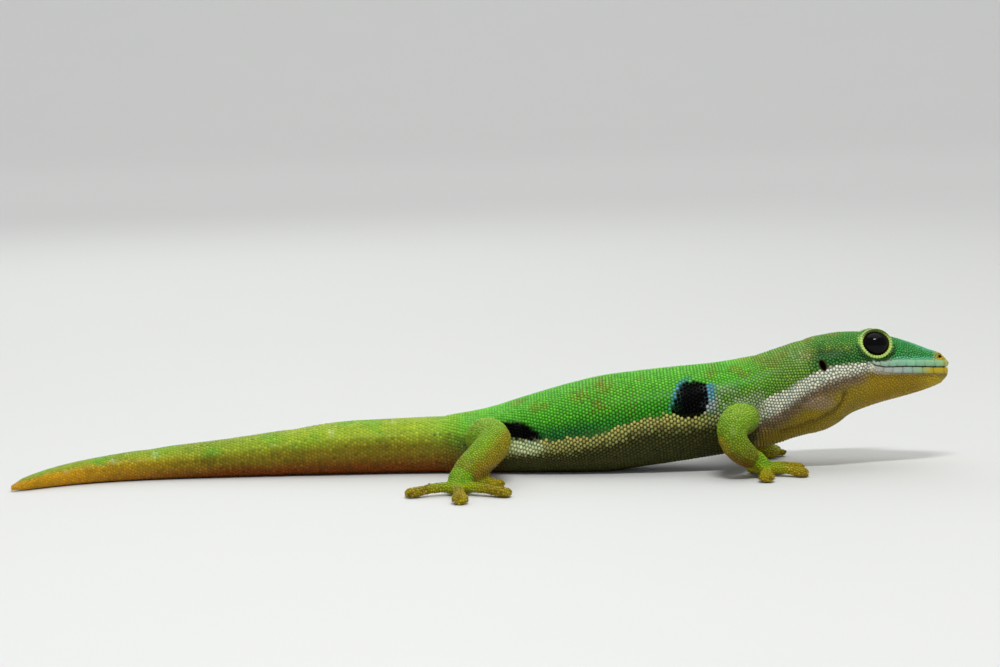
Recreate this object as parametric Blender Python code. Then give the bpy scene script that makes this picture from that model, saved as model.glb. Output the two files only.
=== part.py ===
"""A peacock day gecko at rest, life size: one solid for each part of the body that has a name of its own.

The animal faces +X with its left side towards +Y, and stands on the floor at Z = 0. The origin is on the
floor, under the middle of the whole animal. Lengths here are in millimetres, and the meshes are in metres.
"""

import math
from collections import namedtuple

import bmesh
import bpy
import numpy as np
from mathutils import Matrix, Vector

MM = 0.001
GAP = 0.3  # between pieces that touch
SINK = 0.25  # how far the soft belly and tail are pressed flat where they lie on the floor
MERGE = 0.0005  # points closer than this are one
NEARBY = 0.02  # how far to each side of a place a curve is read for its direction there
RIGHT, LEFT = -1, 1  # the sign of Y on each side of the animal

# One cross-section of the body: its place, the heights of its top, its widest level and its underside, its
# half width there, and how full the upper and lower halves are (2 is an ellipse, more is boxier).
Section = namedtuple("Section", "x y top wide low half_width crown keel")

HEAD_AND_NECK = [
    Section(53.38, 0.0, 11.98, 11.0, 9.97, 0.75, 2.2, 2.2),
    Section(53.13, 0.0, 12.42, 11.0, 9.55, 1.15, 2.2, 2.2),
    Section(52.52, 0.0, 12.79, 11.0, 9.18, 1.65, 2.2, 2.2),
    Section(51.45, 0.0, 13.14, 11.0, 8.75, 2.15, 2.1, 2.2),
    Section(50.00, 0.0, 13.74, 11.0, 8.28, 2.60, 2.1, 2.3),
    Section(48.00, 0.0, 14.42, 11.0, 7.75, 3.15, 2.2, 2.3),
    Section(45.40, 0.0, 15.06, 11.1, 7.08, 3.80, 2.3, 2.3),
    Section(43.40, 0.0, 15.32, 10.9, 6.42, 4.30, 2.3, 2.3),
    Section(42.20, 0.0, 15.34, 10.8, 5.93, 4.60, 2.3, 2.2),
    Section(41.00, 0.0, 15.31, 10.7, 5.00, 4.80, 2.3, 2.2),
    Section(39.50, 0.0, 15.09, 10.4, 4.20, 4.90, 2.2, 2.1),
    Section(37.70, 0.0, 14.76, 9.9, 3.73, 4.75, 2.2, 2.0),
    Section(35.80, 0.0, 14.18, 9.4, 3.35, 4.50, 2.2, 2.0),
    Section(34.00, 0.0, 13.57, 8.8, 2.70, 4.45, 2.2, 2.0),
]
TRUNK = [
    Section(31.00, 0.0, 12.72, 7.9, 2.08, 4.75, 2.2, 2.1),
    Section(27.50, 0.0, 12.13, 7.1, 1.55, 5.20, 2.2, 2.1),
    Section(23.00, 0.1, 11.73, 6.6, 0.92, 5.55, 2.1, 2.2),
    Section(18.50, 0.3, 11.30, 6.0, 0.32, 5.75, 2.1, 2.2),
    Section(14.00, 0.5, 10.74, 5.3, -SINK, 5.75, 2.1, 2.2),
    Section(9.40, 0.7, 9.66, 4.7, -SINK, 5.45, 2.1, 2.2),
    Section(5.00, 0.9, 8.40, 4.2, -SINK, 4.90, 2.1, 2.2),
    Section(1.00, 1.1, 7.22, 3.8, -SINK, 4.25, 2.0, 2.2),
]
TAIL = [
    Section(-3.00, 1.3, 6.55, 3.4, -SINK, 3.55, 2.0, 2.2),
    Section(-9.00, 1.5, 6.23, 3.1, -SINK, 3.30, 2.0, 2.2),
    Section(-15.70, 1.4, 5.97, 3.0, -SINK, 3.25, 2.0, 2.2),
    Section(-22.00, 1.1, 5.17, 2.55, -SINK, 2.85, 2.0, 2.2),
    Section(-29.00, 0.6, 4.32, 2.1, -SINK, 2.42, 2.0, 2.2),
    Section(-36.00, -0.2, 3.66, 1.75, -SINK, 2.05, 2.0, 2.2),
    Section(-42.30, -1.7, 2.98, 1.4, -SINK, 1.70, 2.0, 2.2),
    Section(-46.90, -3.9, 2.35, 1.1, -SINK, 1.38, 2.0, 2.2),
    Section(-49.90, -6.2, 1.68, 0.8, -0.15, 1.02, 2.0, 2.1),
    Section(-51.35, -7.5, 1.18, 0.55, -0.05, 0.70, 2.0, 2.0),
    Section(-51.90, -8.05, 0.80, 0.4, 0.05, 0.38, 2.0, 2.0),
]
BODY = HEAD_AND_NECK + TRUNK + TAIL
SNOUT_TIP = (53.65, 0.0, 11.65)
CHIN_TIP = (53.50, 0.0, 10.50)
TAIL_TIP = (-52.08, -8.25, 0.4)
HEAD_ROLL = math.radians(-6)  # the head leans to bring its right eye up, and the neck twists to meet it
ROLL_HEIGHT = 10.5

# Where the body is parted, as distances from the front of the snout, measured on the floor plan.
NECK_FRONT = 15.9
NECK_BACK = 21.2
TAIL_ROOT = 57.0
TAIL_MIDDLE = 74.0
TAIL_END = 90.5

# The mouth, seen from the side, from the tip of the snout to its corner, and the back of the lower jaw.
MOUTH = [(54.5, 11.00), (51.5, 11.10), (48.5, 11.21), (46.0, 11.20), (44.9, 11.37), (44.1, 11.80)]
JAW_BACK = [(43.2, 11.00), (41.2, 9.70), (39.6, 8.40), (38.9, 6.80), (38.7, 3.00)]
LIP_HEIGHT = 0.5  # of each lip's middle, above or below the mouth
LIP_RADIUS = 0.42
LIP_DEPTH = 0.25  # how far each lip's middle lies inside the skin
LIP_PLACES = [44.6, 45.6, 46.8, 48.2, 49.6, 50.9, 51.9, 52.5, 53.0, 53.25]  # from the mouth's corner forward
LIP_TAPER = [0.45, 0.75]  # the share of its radius that a lip has at the first places
HALF_SLAB = 12.0  # half the width of the slab that parts the jaw from the head, wider than any head

# The eye, and the round lid with its brow, which stand out of the side of the head.
EYE_MIDDLE = (44.89, 2.30, 13.74)
EYE_RADIUS = 1.70
EYE_GAP = 0.18
EYE_FORWARD = math.radians(6)
EYE_UP = math.radians(14)
EYE_FLATTEN = 0.93  # its height as a share of its length
ORBIT = [
    (-1.75, 0.80), (-1.05, 1.45), (-0.25, 1.84), (0.45, 2.00), (0.80, 1.98), (1.00, 1.86), (1.06, 1.72),
    (0.98, 1.54),
]

EAR = {"x": 38.8, "z": 11.5, "radii": (0.36, 0.75, 0.66), "lean": math.radians(-22)}
NOSTRIL = {"x": 52.48, "z": 12.25, "radii": (0.26, 0.42, 0.24), "lean": 0.0}

# A limb runs from inside the body to the middle of its foot. Each joint is (x, y away from the midline, z,
# radius). reach moves the foot forward, and less of it the joints above.
FRONT_LIMB = [
    (30.2, 2.4, 6.15, 1.75),
    (29.8, 4.6, 6.20, 1.88),
    (28.8, 6.9, 6.10, 1.86),
    (28.1, 8.7, 5.35, 1.72),
    (28.4, 9.2, 4.15, 1.64),
    (29.5, 8.6, 2.85, 1.45),
    (31.1, 7.4, 1.65, 1.18),
    (32.0, 6.6, 0.90, 1.02),
]
HIND_LIMB = [
    (0.4, 2.7, 4.3, 2.00),
    (0.7, 5.3, 4.7, 2.08),
    (1.35, 8.0, 5.1, 2.08),
    (1.85, 10.4, 4.75, 1.94),
    (0.7, 12.7, 3.65, 1.86),
    (-1.05, 14.6, 2.35, 1.64),
    (-2.10, 16.0, 1.35, 1.32),
    (-2.3, 16.7, 0.90, 1.10),
]
LIMB_CUTS = (3, 5.45)  # the elbow and the wrist, or the knee and the ankle, as places in the list of joints
SHOULDERS_Y, HIPS_Y = 0.0, 1.1  # the midline's own place there
FRONT_REACH = {RIGHT: 0.0, LEFT: 1.7}
HIND_REACH = {RIGHT: 0.0, LEFT: -1.2}
HIND_STANCE = {RIGHT: 1.0, LEFT: 0.79}  # the heights of a limb's joints, as a share of those in its list

# Each toe is (direction, length). A direction is turned from straight ahead towards the outside, in degrees.
FRONT_TOES = {
    RIGHT: [(-122, 2.7), (-74, 4.4), (-32, 5.4), (18, 5.0), (93, 5.3)],
    LEFT: [(42, 2.6), (76, 4.3), (106, 5.0), (136, 4.8), (170, 4.2)],
}
HIND_TOES = {
    RIGHT: [(-70, 3.1), (-40, 6.6), (24, 6.5), (86, 7.2), (163, 5.9)],
    LEFT: [(-56, 3.0), (-27, 6.0), (20, 6.5), (84, 7.0), (152, 5.9)],
}
FRONT_PALM = (1.35, 1.25, 0.80)
HIND_PALM = (1.55, 1.45, 0.85)
PALM_SINK = 0.05  # how far a palm reaches below the floor before it is flattened
# A toe's cross-sections: how far along it, half width, half height and height of the middle.
TOE = [
    (0.00, 0.74, 0.70, 0.80),
    (0.30, 0.66, 0.66, 0.90),
    (0.50, 0.62, 0.62, 0.84),
    (0.66, 0.78, 0.60, 0.68),
    (0.80, 1.06, 0.60, 0.58),
    (0.92, 0.98, 0.56, 0.54),
    (0.985, 0.60, 0.42, 0.44),
]
TOE_TIP_HEIGHT = 0.38
FULL_TOE = 4.2  # a toe shorter than this is thinner too

HEAD_SIDES, BODY_SIDES, TAIL_SIDES, LIMB_SIDES, TOE_SIDES, ORBIT_SIDES = 40, 32, 20, 14, 8, 24
HEAD_STEP, BODY_STEP, TAIL_STEP, LIMB_STEP = 0.72, 1.4, 1.7, 0.8
SHARP = math.radians(50)

GREEN = (0.16, 0.50, 0.06)
YELLOW_GREEN = (0.38, 0.52, 0.05)
OLIVE = (0.45, 0.42, 0.06)
YELLOW = (0.62, 0.45, 0.05)
BLACK = (0.010, 0.008, 0.008)


def material(name, colour, roughness=0.45):
    made = bpy.data.materials.get(name) or bpy.data.materials.new(name)
    made.use_nodes = True
    shader = made.node_tree.nodes["Principled BSDF"]
    shader.inputs["Base Color"].default_value = (*colour, 1.0)
    shader.inputs["Roughness"].default_value = roughness
    shader.inputs["Metallic"].default_value = 0.0
    made.diffuse_color = (*colour, 1.0)
    return made


def mesh_object(name, points, faces, colour=GREEN):
    """An object from points in millimetres, with all its faces pointing out."""
    mesh = bpy.data.meshes.new(name)
    mesh.from_pydata([Vector(p) * MM for p in points], [], faces)
    made = bmesh.new()
    made.from_mesh(mesh)
    bmesh.ops.recalc_face_normals(made, faces=made.faces)
    made.to_mesh(mesh)
    made.free()
    mesh.shade_smooth()
    mesh.set_sharp_from_angle(angle=SHARP)
    mesh.materials.append(material(name, colour))
    obj = bpy.data.objects.new(name, mesh)
    bpy.context.scene.collection.objects.link(obj)
    return obj


def skinned(name, rings, first, last, colour=GREEN):
    """A closed tube over rings of points, each end closed by a fan to its own point."""
    sides = len(rings[0])
    points = [tuple(p) for ring in rings for p in ring] + [tuple(first), tuple(last)]
    faces = []
    for r in range(len(rings) - 1):
        for i in range(sides):
            j = (i + 1) % sides
            a, b = r * sides, (r + 1) * sides
            faces.append((a + i, a + j, b + j, b + i))
    front, back = len(points) - 2, len(points) - 1
    end = (len(rings) - 1) * sides
    for i in range(sides):
        j = (i + 1) % sides
        faces.append((front, j, i))
        faces.append((back, end + i, end + j))
    return mesh_object(name, points, faces, colour)


def smooth_through(knots, values, at):
    """Reads at the places at a smooth curve that runs through values at knots."""
    knots, values, at = np.asarray(knots, float), np.asarray(values, float), np.asarray(at, float)
    slopes = np.gradient(values, knots, axis=0)
    i = np.clip(np.searchsorted(knots, at, side="right") - 1, 0, len(knots) - 2)
    width = (knots[i + 1] - knots[i])[:, None]
    t = ((at - knots[i])[:, None]) / width
    return (
        (2 * t**3 - 3 * t**2 + 1) * values[i]
        + (t**3 - 2 * t**2 + t) * width * slopes[i]
        + (3 * t**2 - 2 * t**3) * values[i + 1]
        + (t**3 - t**2) * width * slopes[i + 1]
    )


def distances(points):
    steps = np.linalg.norm(np.diff(np.asarray(points, float), axis=0), axis=1)
    return np.concatenate([[0.0], np.cumsum(steps)])


BODY_KNOTS = distances([(s.x, s.y) for s in BODY])
BODY_LENGTH = BODY_KNOTS[-1]


def power(value, fullness):
    return math.copysign(abs(value) ** (2 / fullness), value)


def body_ring(distance, sides, grow=0.0):
    """The ring of points round the body at a distance behind the snout's front."""
    near = np.clip([distance - NEARBY, distance + NEARBY], 0, BODY_LENGTH)
    ends = smooth_through(BODY_KNOTS, [(s.x, s.y) for s in BODY], near)
    forward = ends[0] - ends[1]
    forward /= np.linalg.norm(forward)
    x, y, top, wide, low, half_width, crown, keel = smooth_through(BODY_KNOTS, BODY, [distance])[0]
    ring = []
    for i in range(sides):
        angle = 2 * math.pi * (i + 0.5) / sides
        over = math.sin(angle) > 0
        fullness = crown if over else keel
        reach = (top - wide if over else wide - low) + grow
        side = (half_width + grow) * power(math.cos(angle), fullness)
        height = wide + reach * power(math.sin(angle), fullness)
        ring.append((x - forward[1] * side, y + forward[0] * side, max(height, -grow)))
    return ring


def middle_of(ring):
    return np.mean(ring, axis=0)


def body_length(name, start, end, sides, step, colour=GREEN, grow=0.0, front_tip=SNOUT_TIP):
    """A length of the body between two distances behind the snout's front, with flat or pointed ends."""
    count = max(2, round((end - start) / step) + 1)
    places = np.linspace(start, end, count)
    rings = [body_ring(d, sides, grow) for d in places]
    first = front_tip if start == 0 else middle_of(rings[0])
    last = TAIL_TIP if end == BODY_LENGTH else middle_of(rings[-1])
    return skinned(name, rings, first, last, colour)


def skin_at(x, z):
    """How far the head's skin is from the midline at a place seen from the side."""
    xs = [s.x for s in BODY[::-1]]
    _, _, top, wide, low, half_width, crown, keel = smooth_through(xs, BODY[::-1], [x])[0]
    over = z > wide
    fullness = crown if over else keel
    share = abs(z - wide) / (top - wide if over else wide - low)
    return half_width * max(0.0, 1 - min(share, 1.0) ** fullness) ** (1 / fullness)


def boolean(target, operation, others, solver="EXACT"):
    """Joins or cuts a collection of closed meshes to or from target, applies it, and removes them."""
    group = bpy.data.collections.new("pieces_of_" + target.name)
    bpy.context.scene.collection.children.link(group)
    for other in others:
        bpy.context.scene.collection.objects.unlink(other)
        group.objects.link(other)
    modifier = target.modifiers.new(operation.lower(), "BOOLEAN")
    modifier.operation = operation
    modifier.operand_type = "COLLECTION"
    modifier.collection = group
    modifier.solver = solver
    apply_modifiers(target)
    for other in others:
        bpy.data.objects.remove(other)
    bpy.data.collections.remove(group)
    return target


def apply_modifiers(obj):
    graph = bpy.context.evaluated_depsgraph_get()
    applied = bpy.data.meshes.new_from_object(obj.evaluated_get(graph))
    obj.modifiers.clear()
    obj.data = applied


def keep_largest(obj):
    """Keeps the largest closed surface of a mesh, and drops loose scraps."""
    made = bmesh.new()
    made.from_mesh(obj.data)
    bmesh.ops.remove_doubles(made, verts=made.verts, dist=MERGE * MM)
    left, pieces = set(made.verts), []
    while left:
        piece, edge = set(), [left.pop()]
        while edge:
            vert = edge.pop()
            piece.add(vert)
            fresh = [e.other_vert(vert) for e in vert.link_edges if e.other_vert(vert) in left]
            left.difference_update(fresh)
            edge.extend(fresh)
        pieces.append(piece)
    largest = max(pieces, key=len)
    bmesh.ops.delete(made, geom=[v for v in made.verts if v not in largest], context="VERTS")
    made.to_mesh(obj.data)
    made.free()
    obj.data.shade_smooth()
    obj.data.set_sharp_from_angle(angle=SHARP)
    return obj


def ball(name, place, radii, rings=12, segments=18):
    """An ellipsoid about its own axes, set in place by a matrix, all in millimetres."""
    made = bmesh.new()
    size = Matrix.Scale(MM, 4) @ place @ Matrix.Diagonal((*radii, 1.0))
    bmesh.ops.create_uvsphere(made, u_segments=segments, v_segments=rings, radius=1.0, matrix=size)
    mesh = bpy.data.meshes.new(name)
    made.to_mesh(mesh)
    made.free()
    mesh.shade_smooth()
    mesh.materials.append(material(name, BLACK, 0.1))
    obj = bpy.data.objects.new(name, mesh)
    bpy.context.scene.collection.objects.link(obj)
    return obj


def turned(name, profile, sides, place):
    """A solid turned about its own Z axis from (height, radius) pairs, then set in place."""
    angles = [2 * math.pi * i / sides for i in range(sides)]
    rings = []
    for height, radius in profile:
        ring = [(radius * math.cos(a), radius * math.sin(a), height) for a in angles]
        rings.append([place @ Vector(p) for p in ring])
    first, last = (place @ Vector((0, 0, profile[end][0])) for end in (0, -1))
    return skinned(name, rings, first, last)


def on_side(point, side):
    return Vector((point[0], side * point[1], point[2]))


def at(point):
    return Matrix.Translation(Vector(point))


def eye_place(side):
    """The matrix that puts something on the eye, with its Z looking out of the eye and its X upwards."""
    out = Vector((math.sin(EYE_FORWARD), side * math.cos(EYE_FORWARD) * math.cos(EYE_UP), math.sin(EYE_UP)))
    turn = out.to_track_quat("Z", "X").to_matrix().to_4x4()
    return at(on_side(EYE_MIDDLE, side)) @ turn @ Matrix.Diagonal((EYE_FLATTEN, 1, 1, 1))


def make_eye(side, name):
    return ball(name, eye_place(side), [EYE_RADIUS] * 3, rings=14, segments=22)


def pit(name, feature, side):
    """The cutter for an ear or a nostril, set into the skin."""
    depth = skin_at(feature["x"], feature["z"])
    middle = (feature["x"], side * depth, feature["z"])
    turn = Matrix.Rotation(feature["lean"], 4, "Y")
    return ball(name, at(middle) @ turn, feature["radii"], rings=8, segments=12)


def side_prism(name, outline):
    """A slab through the head with the given outline, seen from the side."""
    count = len(outline)
    points = [(x, y, z) for y in (-HALF_SLAB, HALF_SLAB) for x, z in outline]
    faces = [tuple(range(count)), tuple(reversed(range(count, 2 * count)))]
    for i in range(count):
        j = (i + 1) % count
        faces.append((i, j, count + j, count + i))
    return mesh_object(name, points, faces)


def jaw_outline(gap):
    """The lower jaw's region seen from the side, drawn in from the mouth and the back of the jaw by gap."""
    line = np.array(MOUTH + JAW_BACK)
    along = np.gradient(line, axis=0)
    along /= np.linalg.norm(along, axis=1)[:, None]
    inward = np.stack([-along[:, 1], along[:, 0]], axis=1)
    drawn = line + gap * inward
    return [tuple(p) for p in drawn] + [(drawn[-1][0], 0.0), (drawn[0][0], 0.0)]


def lip(name, over):
    """A rounded lip along the mouth, round the front of the snout from one corner to the other."""
    line = np.array(MOUTH[::-1])
    heights = smooth_through(line[:, 0], line[:, 1:], LIP_PLACES)[:, 0] + over * LIP_HEIGHT
    taper = LIP_TAPER + [1.0] * (len(LIP_PLACES) - len(LIP_TAPER))
    depths = [LIP_DEPTH / t for t in taper]
    half = [(x, skin_at(x, z) - depth, z) for x, z, depth in zip(LIP_PLACES, heights, depths)]
    tip = (HEAD_AND_NECK[0].x - LIP_DEPTH, 0.0, heights[-1])
    route = [(x, -y, z) for x, y, z in half] + [tip] + half[::-1]
    radii = [LIP_RADIUS * t for t in taper + [1.0] + taper[::-1]]
    return tube(name, route, radii, 0, len(route) - 1, 8, 0.7)


def make_head():
    """The head down to the mouth, with its lips, round lids, ears and nostrils."""
    head = body_length("head", 0, NECK_FRONT, HEAD_SIDES, HEAD_STEP)
    raised = [lip("upper_lip", 1)]
    for side in (RIGHT, LEFT):
        raised.append(turned(f"orbit_{side}", ORBIT, ORBIT_SIDES, eye_place(side)))
    boolean(head, "UNION", raised)
    socket = EYE_RADIUS + EYE_GAP
    cuts = [ball(f"socket_{side}", eye_place(side), [socket] * 3) for side in (RIGHT, LEFT)]
    for side in (RIGHT, LEFT):
        cuts.append(pit(f"ear_{side}", EAR, side))
        cuts.append(pit(f"nostril_{side}", NOSTRIL, side))
    cuts.append(side_prism("below_the_mouth", jaw_outline(-GAP / 2)))
    boolean(head, "DIFFERENCE", cuts)
    return keep_largest(head)


def make_jaw():
    """The lower jaw with the front of the throat."""
    jaw = body_length("jaw", 0, NECK_FRONT, HEAD_SIDES, HEAD_STEP, YELLOW, front_tip=CHIN_TIP)
    boolean(jaw, "UNION", [lip("lower_lip", -1)])
    boolean(jaw, "INTERSECT", [side_prism("jaw_region", jaw_outline(GAP / 2))])
    return keep_largest(jaw)


def tube(name, joints, radii, start, end, sides, step, colour=GREEN):
    """A round tube along a smooth curve through joints, from place start to place end in their list."""
    knots = distances(joints)
    numbers = np.arange(len(joints))
    low, high = np.interp([start, end], numbers, knots)
    places = np.linspace(low, high, max(2, round((high - low) / step) + 1))
    middles = smooth_through(knots, joints, places)
    ahead = smooth_through(knots, joints, np.clip(places + NEARBY, 0, knots[-1]))
    behind = smooth_through(knots, joints, np.clip(places - NEARBY, 0, knots[-1]))
    sizes = smooth_through(knots, np.array(radii)[:, None], places)[:, 0]
    across, rings = None, []
    for middle, along, size in zip(middles, ahead - behind, sizes):
        along = Vector(along).normalized()
        across = along.orthogonal() if across is None else across
        across = (across - along * across.dot(along)).normalized()
        other = along.cross(across)
        angles = [2 * math.pi * i / sides for i in range(sides)]
        ring = [Vector(middle) + (across * math.cos(a) + other * math.sin(a)) * float(size) for a in angles]
        rings.append([(p.x, p.y, max(p.z, 0.0)) for p in ring])
    return skinned(name, rings, middle_of(rings[0]), middle_of(rings[-1]), colour)


def make_toe(name, root, direction, length, side):
    """One toe, narrow at the root and widened into a flat pad, laid on the floor."""
    heading = math.radians(direction)
    along = Vector((math.cos(heading), side * math.sin(heading), 0))
    across = Vector((-along.y, along.x, 0))
    fullness = min(1, (length / FULL_TOE) ** 0.5)
    rings = []
    for share, *measures in TOE:
        half_width, half_height, height = (measure * fullness for measure in measures)
        middle = Vector(root) + along * length * share
        middle.z = height
        ring = []
        for i in range(TOE_SIDES):
            angle = 2 * math.pi * (i + 0.5) / TOE_SIDES
            point = middle + across * half_width * math.cos(angle)
            point.z = max(0.0, height + half_height * math.sin(angle))
            ring.append(tuple(point))
        rings.append(ring)
    tip = Vector(root) + along * length
    return skinned(name, rings, middle_of(rings[0]), (tip.x, tip.y, TOE_TIP_HEIGHT * fullness))


def make_limb(name, pieces, joints, midline, reach, side, palm, toes, body, stance=1.0):
    """A limb in three solids: its upper part up to the body, its lower part, and its foot."""
    count = len(joints) - 1
    shares = np.clip((np.arange(count + 1) - 1) / (count - 2), 0, 1)
    route = []
    for (x, y, z, _), share in zip(joints, shares):
        route.append((x + reach * share, midline + side * y, z * stance))
    radii = [joint[3] for joint in joints]
    knots = distances(route)
    middle, wrist = LIMB_CUTS

    def after(place):
        along = np.interp(place, np.arange(count + 1), knots) + GAP
        return float(np.interp(along, knots, np.arange(count + 1)))

    def clear_of_end(place):
        wide = [radius + GAP for radius in radii]
        return tube(f"clear_of_{name}", route, wide, place - 1, after(place), LIMB_SIDES, LIMB_STEP)

    upper_name, lower_name, foot_name = (f"{name}_{piece}" for piece in pieces)
    upper = tube(upper_name, route, radii, 0, middle, LIMB_SIDES, LIMB_STEP, YELLOW_GREEN)
    boolean(upper, "DIFFERENCE", [body])
    keep_largest(upper)
    lower = tube(lower_name, route, radii, middle, wrist, LIMB_SIDES, LIMB_STEP, YELLOW_GREEN)
    boolean(lower, "DIFFERENCE", [clear_of_end(middle)])
    keep_largest(lower)
    foot = tube(foot_name, route, radii, wrist, count, LIMB_SIDES, LIMB_STEP, OLIVE)
    sole = Vector(route[-1])
    sole.z = palm[2] - PALM_SINK
    parts = [ball(f"{foot_name}_palm", at(sole), palm, rings=8, segments=14)]
    for number, (direction, length) in enumerate(toes, 1):
        toe_name = f"{foot_name}_toe_{number}"
        parts.append(make_toe(toe_name, sole, direction, length, side))
    boolean(foot, "UNION", parts, "MANIFOLD")
    boolean(foot, "DIFFERENCE", [clear_of_end(wrist)], "MANIFOLD")
    flatten_under(foot)
    return keep_largest(foot)


def flatten_under(obj):
    """Lays everything that reaches below the floor flat on it."""
    for vert in obj.data.vertices:
        vert.co.z = max(vert.co.z, 0.0)


def make_limbs():
    def clear_of_body():
        return body_length("clear_of_body", NECK_FRONT, TAIL_MIDDLE, BODY_SIDES, BODY_STEP, grow=GAP)

    for word, side in {"right": RIGHT, "left": LEFT}.items():
        make_limb(
            word, ("upper_arm", "forearm", "hand"), FRONT_LIMB, SHOULDERS_Y, FRONT_REACH[side],
            side, FRONT_PALM, FRONT_TOES[side], clear_of_body(),
        )
        make_limb(
            word, ("thigh", "shin", "foot"), HIND_LIMB, HIPS_Y, HIND_REACH[side],
            side, HIND_PALM, HIND_TOES[side], clear_of_body(), HIND_STANCE[side],
        )


def make_body():
    """The neck, the torso and the tail in three lengths, each a gap behind the last."""
    body_length("neck", NECK_FRONT + GAP, NECK_BACK, BODY_SIDES, BODY_STEP)
    body_length("torso", NECK_BACK + GAP, TAIL_ROOT, BODY_SIDES, BODY_STEP)
    body_length("tail_base", TAIL_ROOT + GAP, TAIL_MIDDLE, TAIL_SIDES, TAIL_STEP, YELLOW_GREEN)
    body_length("tail_middle", TAIL_MIDDLE + GAP, TAIL_END, TAIL_SIDES, TAIL_STEP, YELLOW_GREEN)
    body_length("tail_tip", TAIL_END + GAP, BODY_LENGTH, TAIL_SIDES, TAIL_STEP, YELLOW)


def lean_head():
    """Rolls the head about the length of the body, with a twist that fades out along the neck."""
    front, back = (HEAD_AND_NECK[0].x - d for d in (NECK_FRONT, NECK_BACK))
    for name in ("head", "jaw", "left_eye", "right_eye", "neck"):
        for vert in bpy.data.objects[name].data.vertices:
            share = min(1.0, max(0.0, (vert.co.x / MM - back) / (front - back)))
            angle = HEAD_ROLL * share * share * (3 - 2 * share)
            y, z = vert.co.y, vert.co.z - ROLL_HEIGHT * MM
            vert.co.y = y * math.cos(angle) - z * math.sin(angle)
            vert.co.z = y * math.sin(angle) + z * math.cos(angle) + ROLL_HEIGHT * MM


def centre_on_origin():
    """Moves everything so that the origin is under the middle of the whole animal."""
    corners = [v.co for obj in bpy.data.objects for v in obj.data.vertices]
    for axis in (0, 1):
        values = [corner[axis] for corner in corners]
        middle = (min(values) + max(values)) / 2
        for corner in corners:
            corner[axis] -= middle


def main():
    for old in list(bpy.data.objects):
        bpy.data.objects.remove(old)
    make_body()
    make_head()
    make_jaw()
    make_eye(RIGHT, "right_eye")
    make_eye(LEFT, "left_eye")
    lean_head()
    make_limbs()
    centre_on_origin()


main()
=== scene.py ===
import math

import bpy
import numpy as np
from mathutils import Matrix, Vector, noise
from mathutils.bvhtree import BVHTree
from mathutils.kdtree import KDTree


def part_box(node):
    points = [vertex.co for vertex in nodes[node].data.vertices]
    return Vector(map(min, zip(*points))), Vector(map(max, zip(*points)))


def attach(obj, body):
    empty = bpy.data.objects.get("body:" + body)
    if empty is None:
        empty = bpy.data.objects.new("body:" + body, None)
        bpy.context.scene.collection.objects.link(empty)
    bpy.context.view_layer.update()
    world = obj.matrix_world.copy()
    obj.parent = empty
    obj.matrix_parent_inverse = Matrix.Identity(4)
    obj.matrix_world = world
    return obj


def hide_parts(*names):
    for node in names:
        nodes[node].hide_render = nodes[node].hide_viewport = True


# A peacock day gecko, life size. Lengths here are in millimetres, and mm turns them into metres.
# The animal faces +X, its left side is towards +Y, and it rests on the floor at Z = 0.

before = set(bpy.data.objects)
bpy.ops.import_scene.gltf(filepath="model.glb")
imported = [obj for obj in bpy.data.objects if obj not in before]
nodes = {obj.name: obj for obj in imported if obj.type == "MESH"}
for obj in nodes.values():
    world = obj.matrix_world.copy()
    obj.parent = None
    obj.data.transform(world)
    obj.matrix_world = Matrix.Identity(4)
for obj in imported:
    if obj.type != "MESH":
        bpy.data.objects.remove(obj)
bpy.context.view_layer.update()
mm = 0.001

eyeNodes = ["right_eye", "left_eye"]
bodyNodes = ["head", "jaw", "neck", "torso", "tail_base", "tail_middle", "tail_tip"]
fleshNodes = [name for name in sorted(nodes) if name not in eyeNodes]


# Small helpers

def ease(low, high, value):
    # 0 up to low, 1 from high on, with a soft rise between them
    share = np.clip((np.asarray(value, float) - low) / (high - low), 0, 1)
    return share * share * (3 - 2 * share)


def fade(low, high, value):
    return 1 - ease(low, high, value)


def between(value, low, high, soft):
    return ease(low - soft, low + soft, value) * fade(high - soft, high + soft, value)


def selectOnly(*objs):
    bpy.ops.object.select_all(action="DESELECT")
    for obj in objs:
        obj.select_set(True)
    bpy.context.view_layer.objects.active = objs[0]


def applyAll(obj):
    selectOnly(obj)
    for modifier in list(obj.modifiers):
        bpy.ops.object.modifier_apply(modifier=modifier.name)


def settle(obj):
    selectOnly(obj)
    bpy.ops.object.transform_apply(location=True, rotation=True, scale=True)


def readAll(items, field, width=1, kind=np.float32):
    flat = np.empty(len(items) * width, kind)
    items.foreach_get(field, flat)
    return flat


def pointsOf(obj):
    return readAll(obj.data.vertices, "co", 3).reshape(-1, 3).astype(float) / mm


def normalsOf(obj):
    return readAll(obj.data.vertex_normals, "vector", 3).reshape(-1, 3).astype(float)


def movePoints(obj, points):
    obj.data.vertices.foreach_set("co", (points * mm).astype(np.float32).ravel())
    obj.data.update()


def unit(rows):
    return rows / np.maximum(np.linalg.norm(rows, axis=-1, keepdims=True), 1e-9)


def treeOf(obj, points=None):
    places = pointsOf(obj) if points is None else points
    faces = [tuple(face.vertices) for face in obj.data.polygons]
    return BVHTree.FromPolygons([Vector(p) for p in places], faces)


def pointTree(points):
    tree = KDTree(len(points))
    for number, point in enumerate(points):
        tree.insert(point, number)
    tree.balance()
    return tree


def meshObject(name, verts, faces):
    mesh = bpy.data.meshes.new(name)
    mesh.from_pydata(verts, [], faces)
    made = bpy.data.objects.new(name, mesh)
    bpy.context.scene.collection.objects.link(made)
    return made


def editAll(obj, *steps):
    # each step is an edit of the whole mesh and its settings
    selectOnly(obj)
    bpy.ops.object.mode_set(mode="EDIT")
    bpy.ops.mesh.select_all(action="SELECT")
    for edit, settings in steps:
        edit(**settings)
    bpy.ops.object.mode_set(mode="OBJECT")


def faceOutwards(obj):
    editAll(obj, (bpy.ops.mesh.normals_make_consistent, {"inside": False}))


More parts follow.
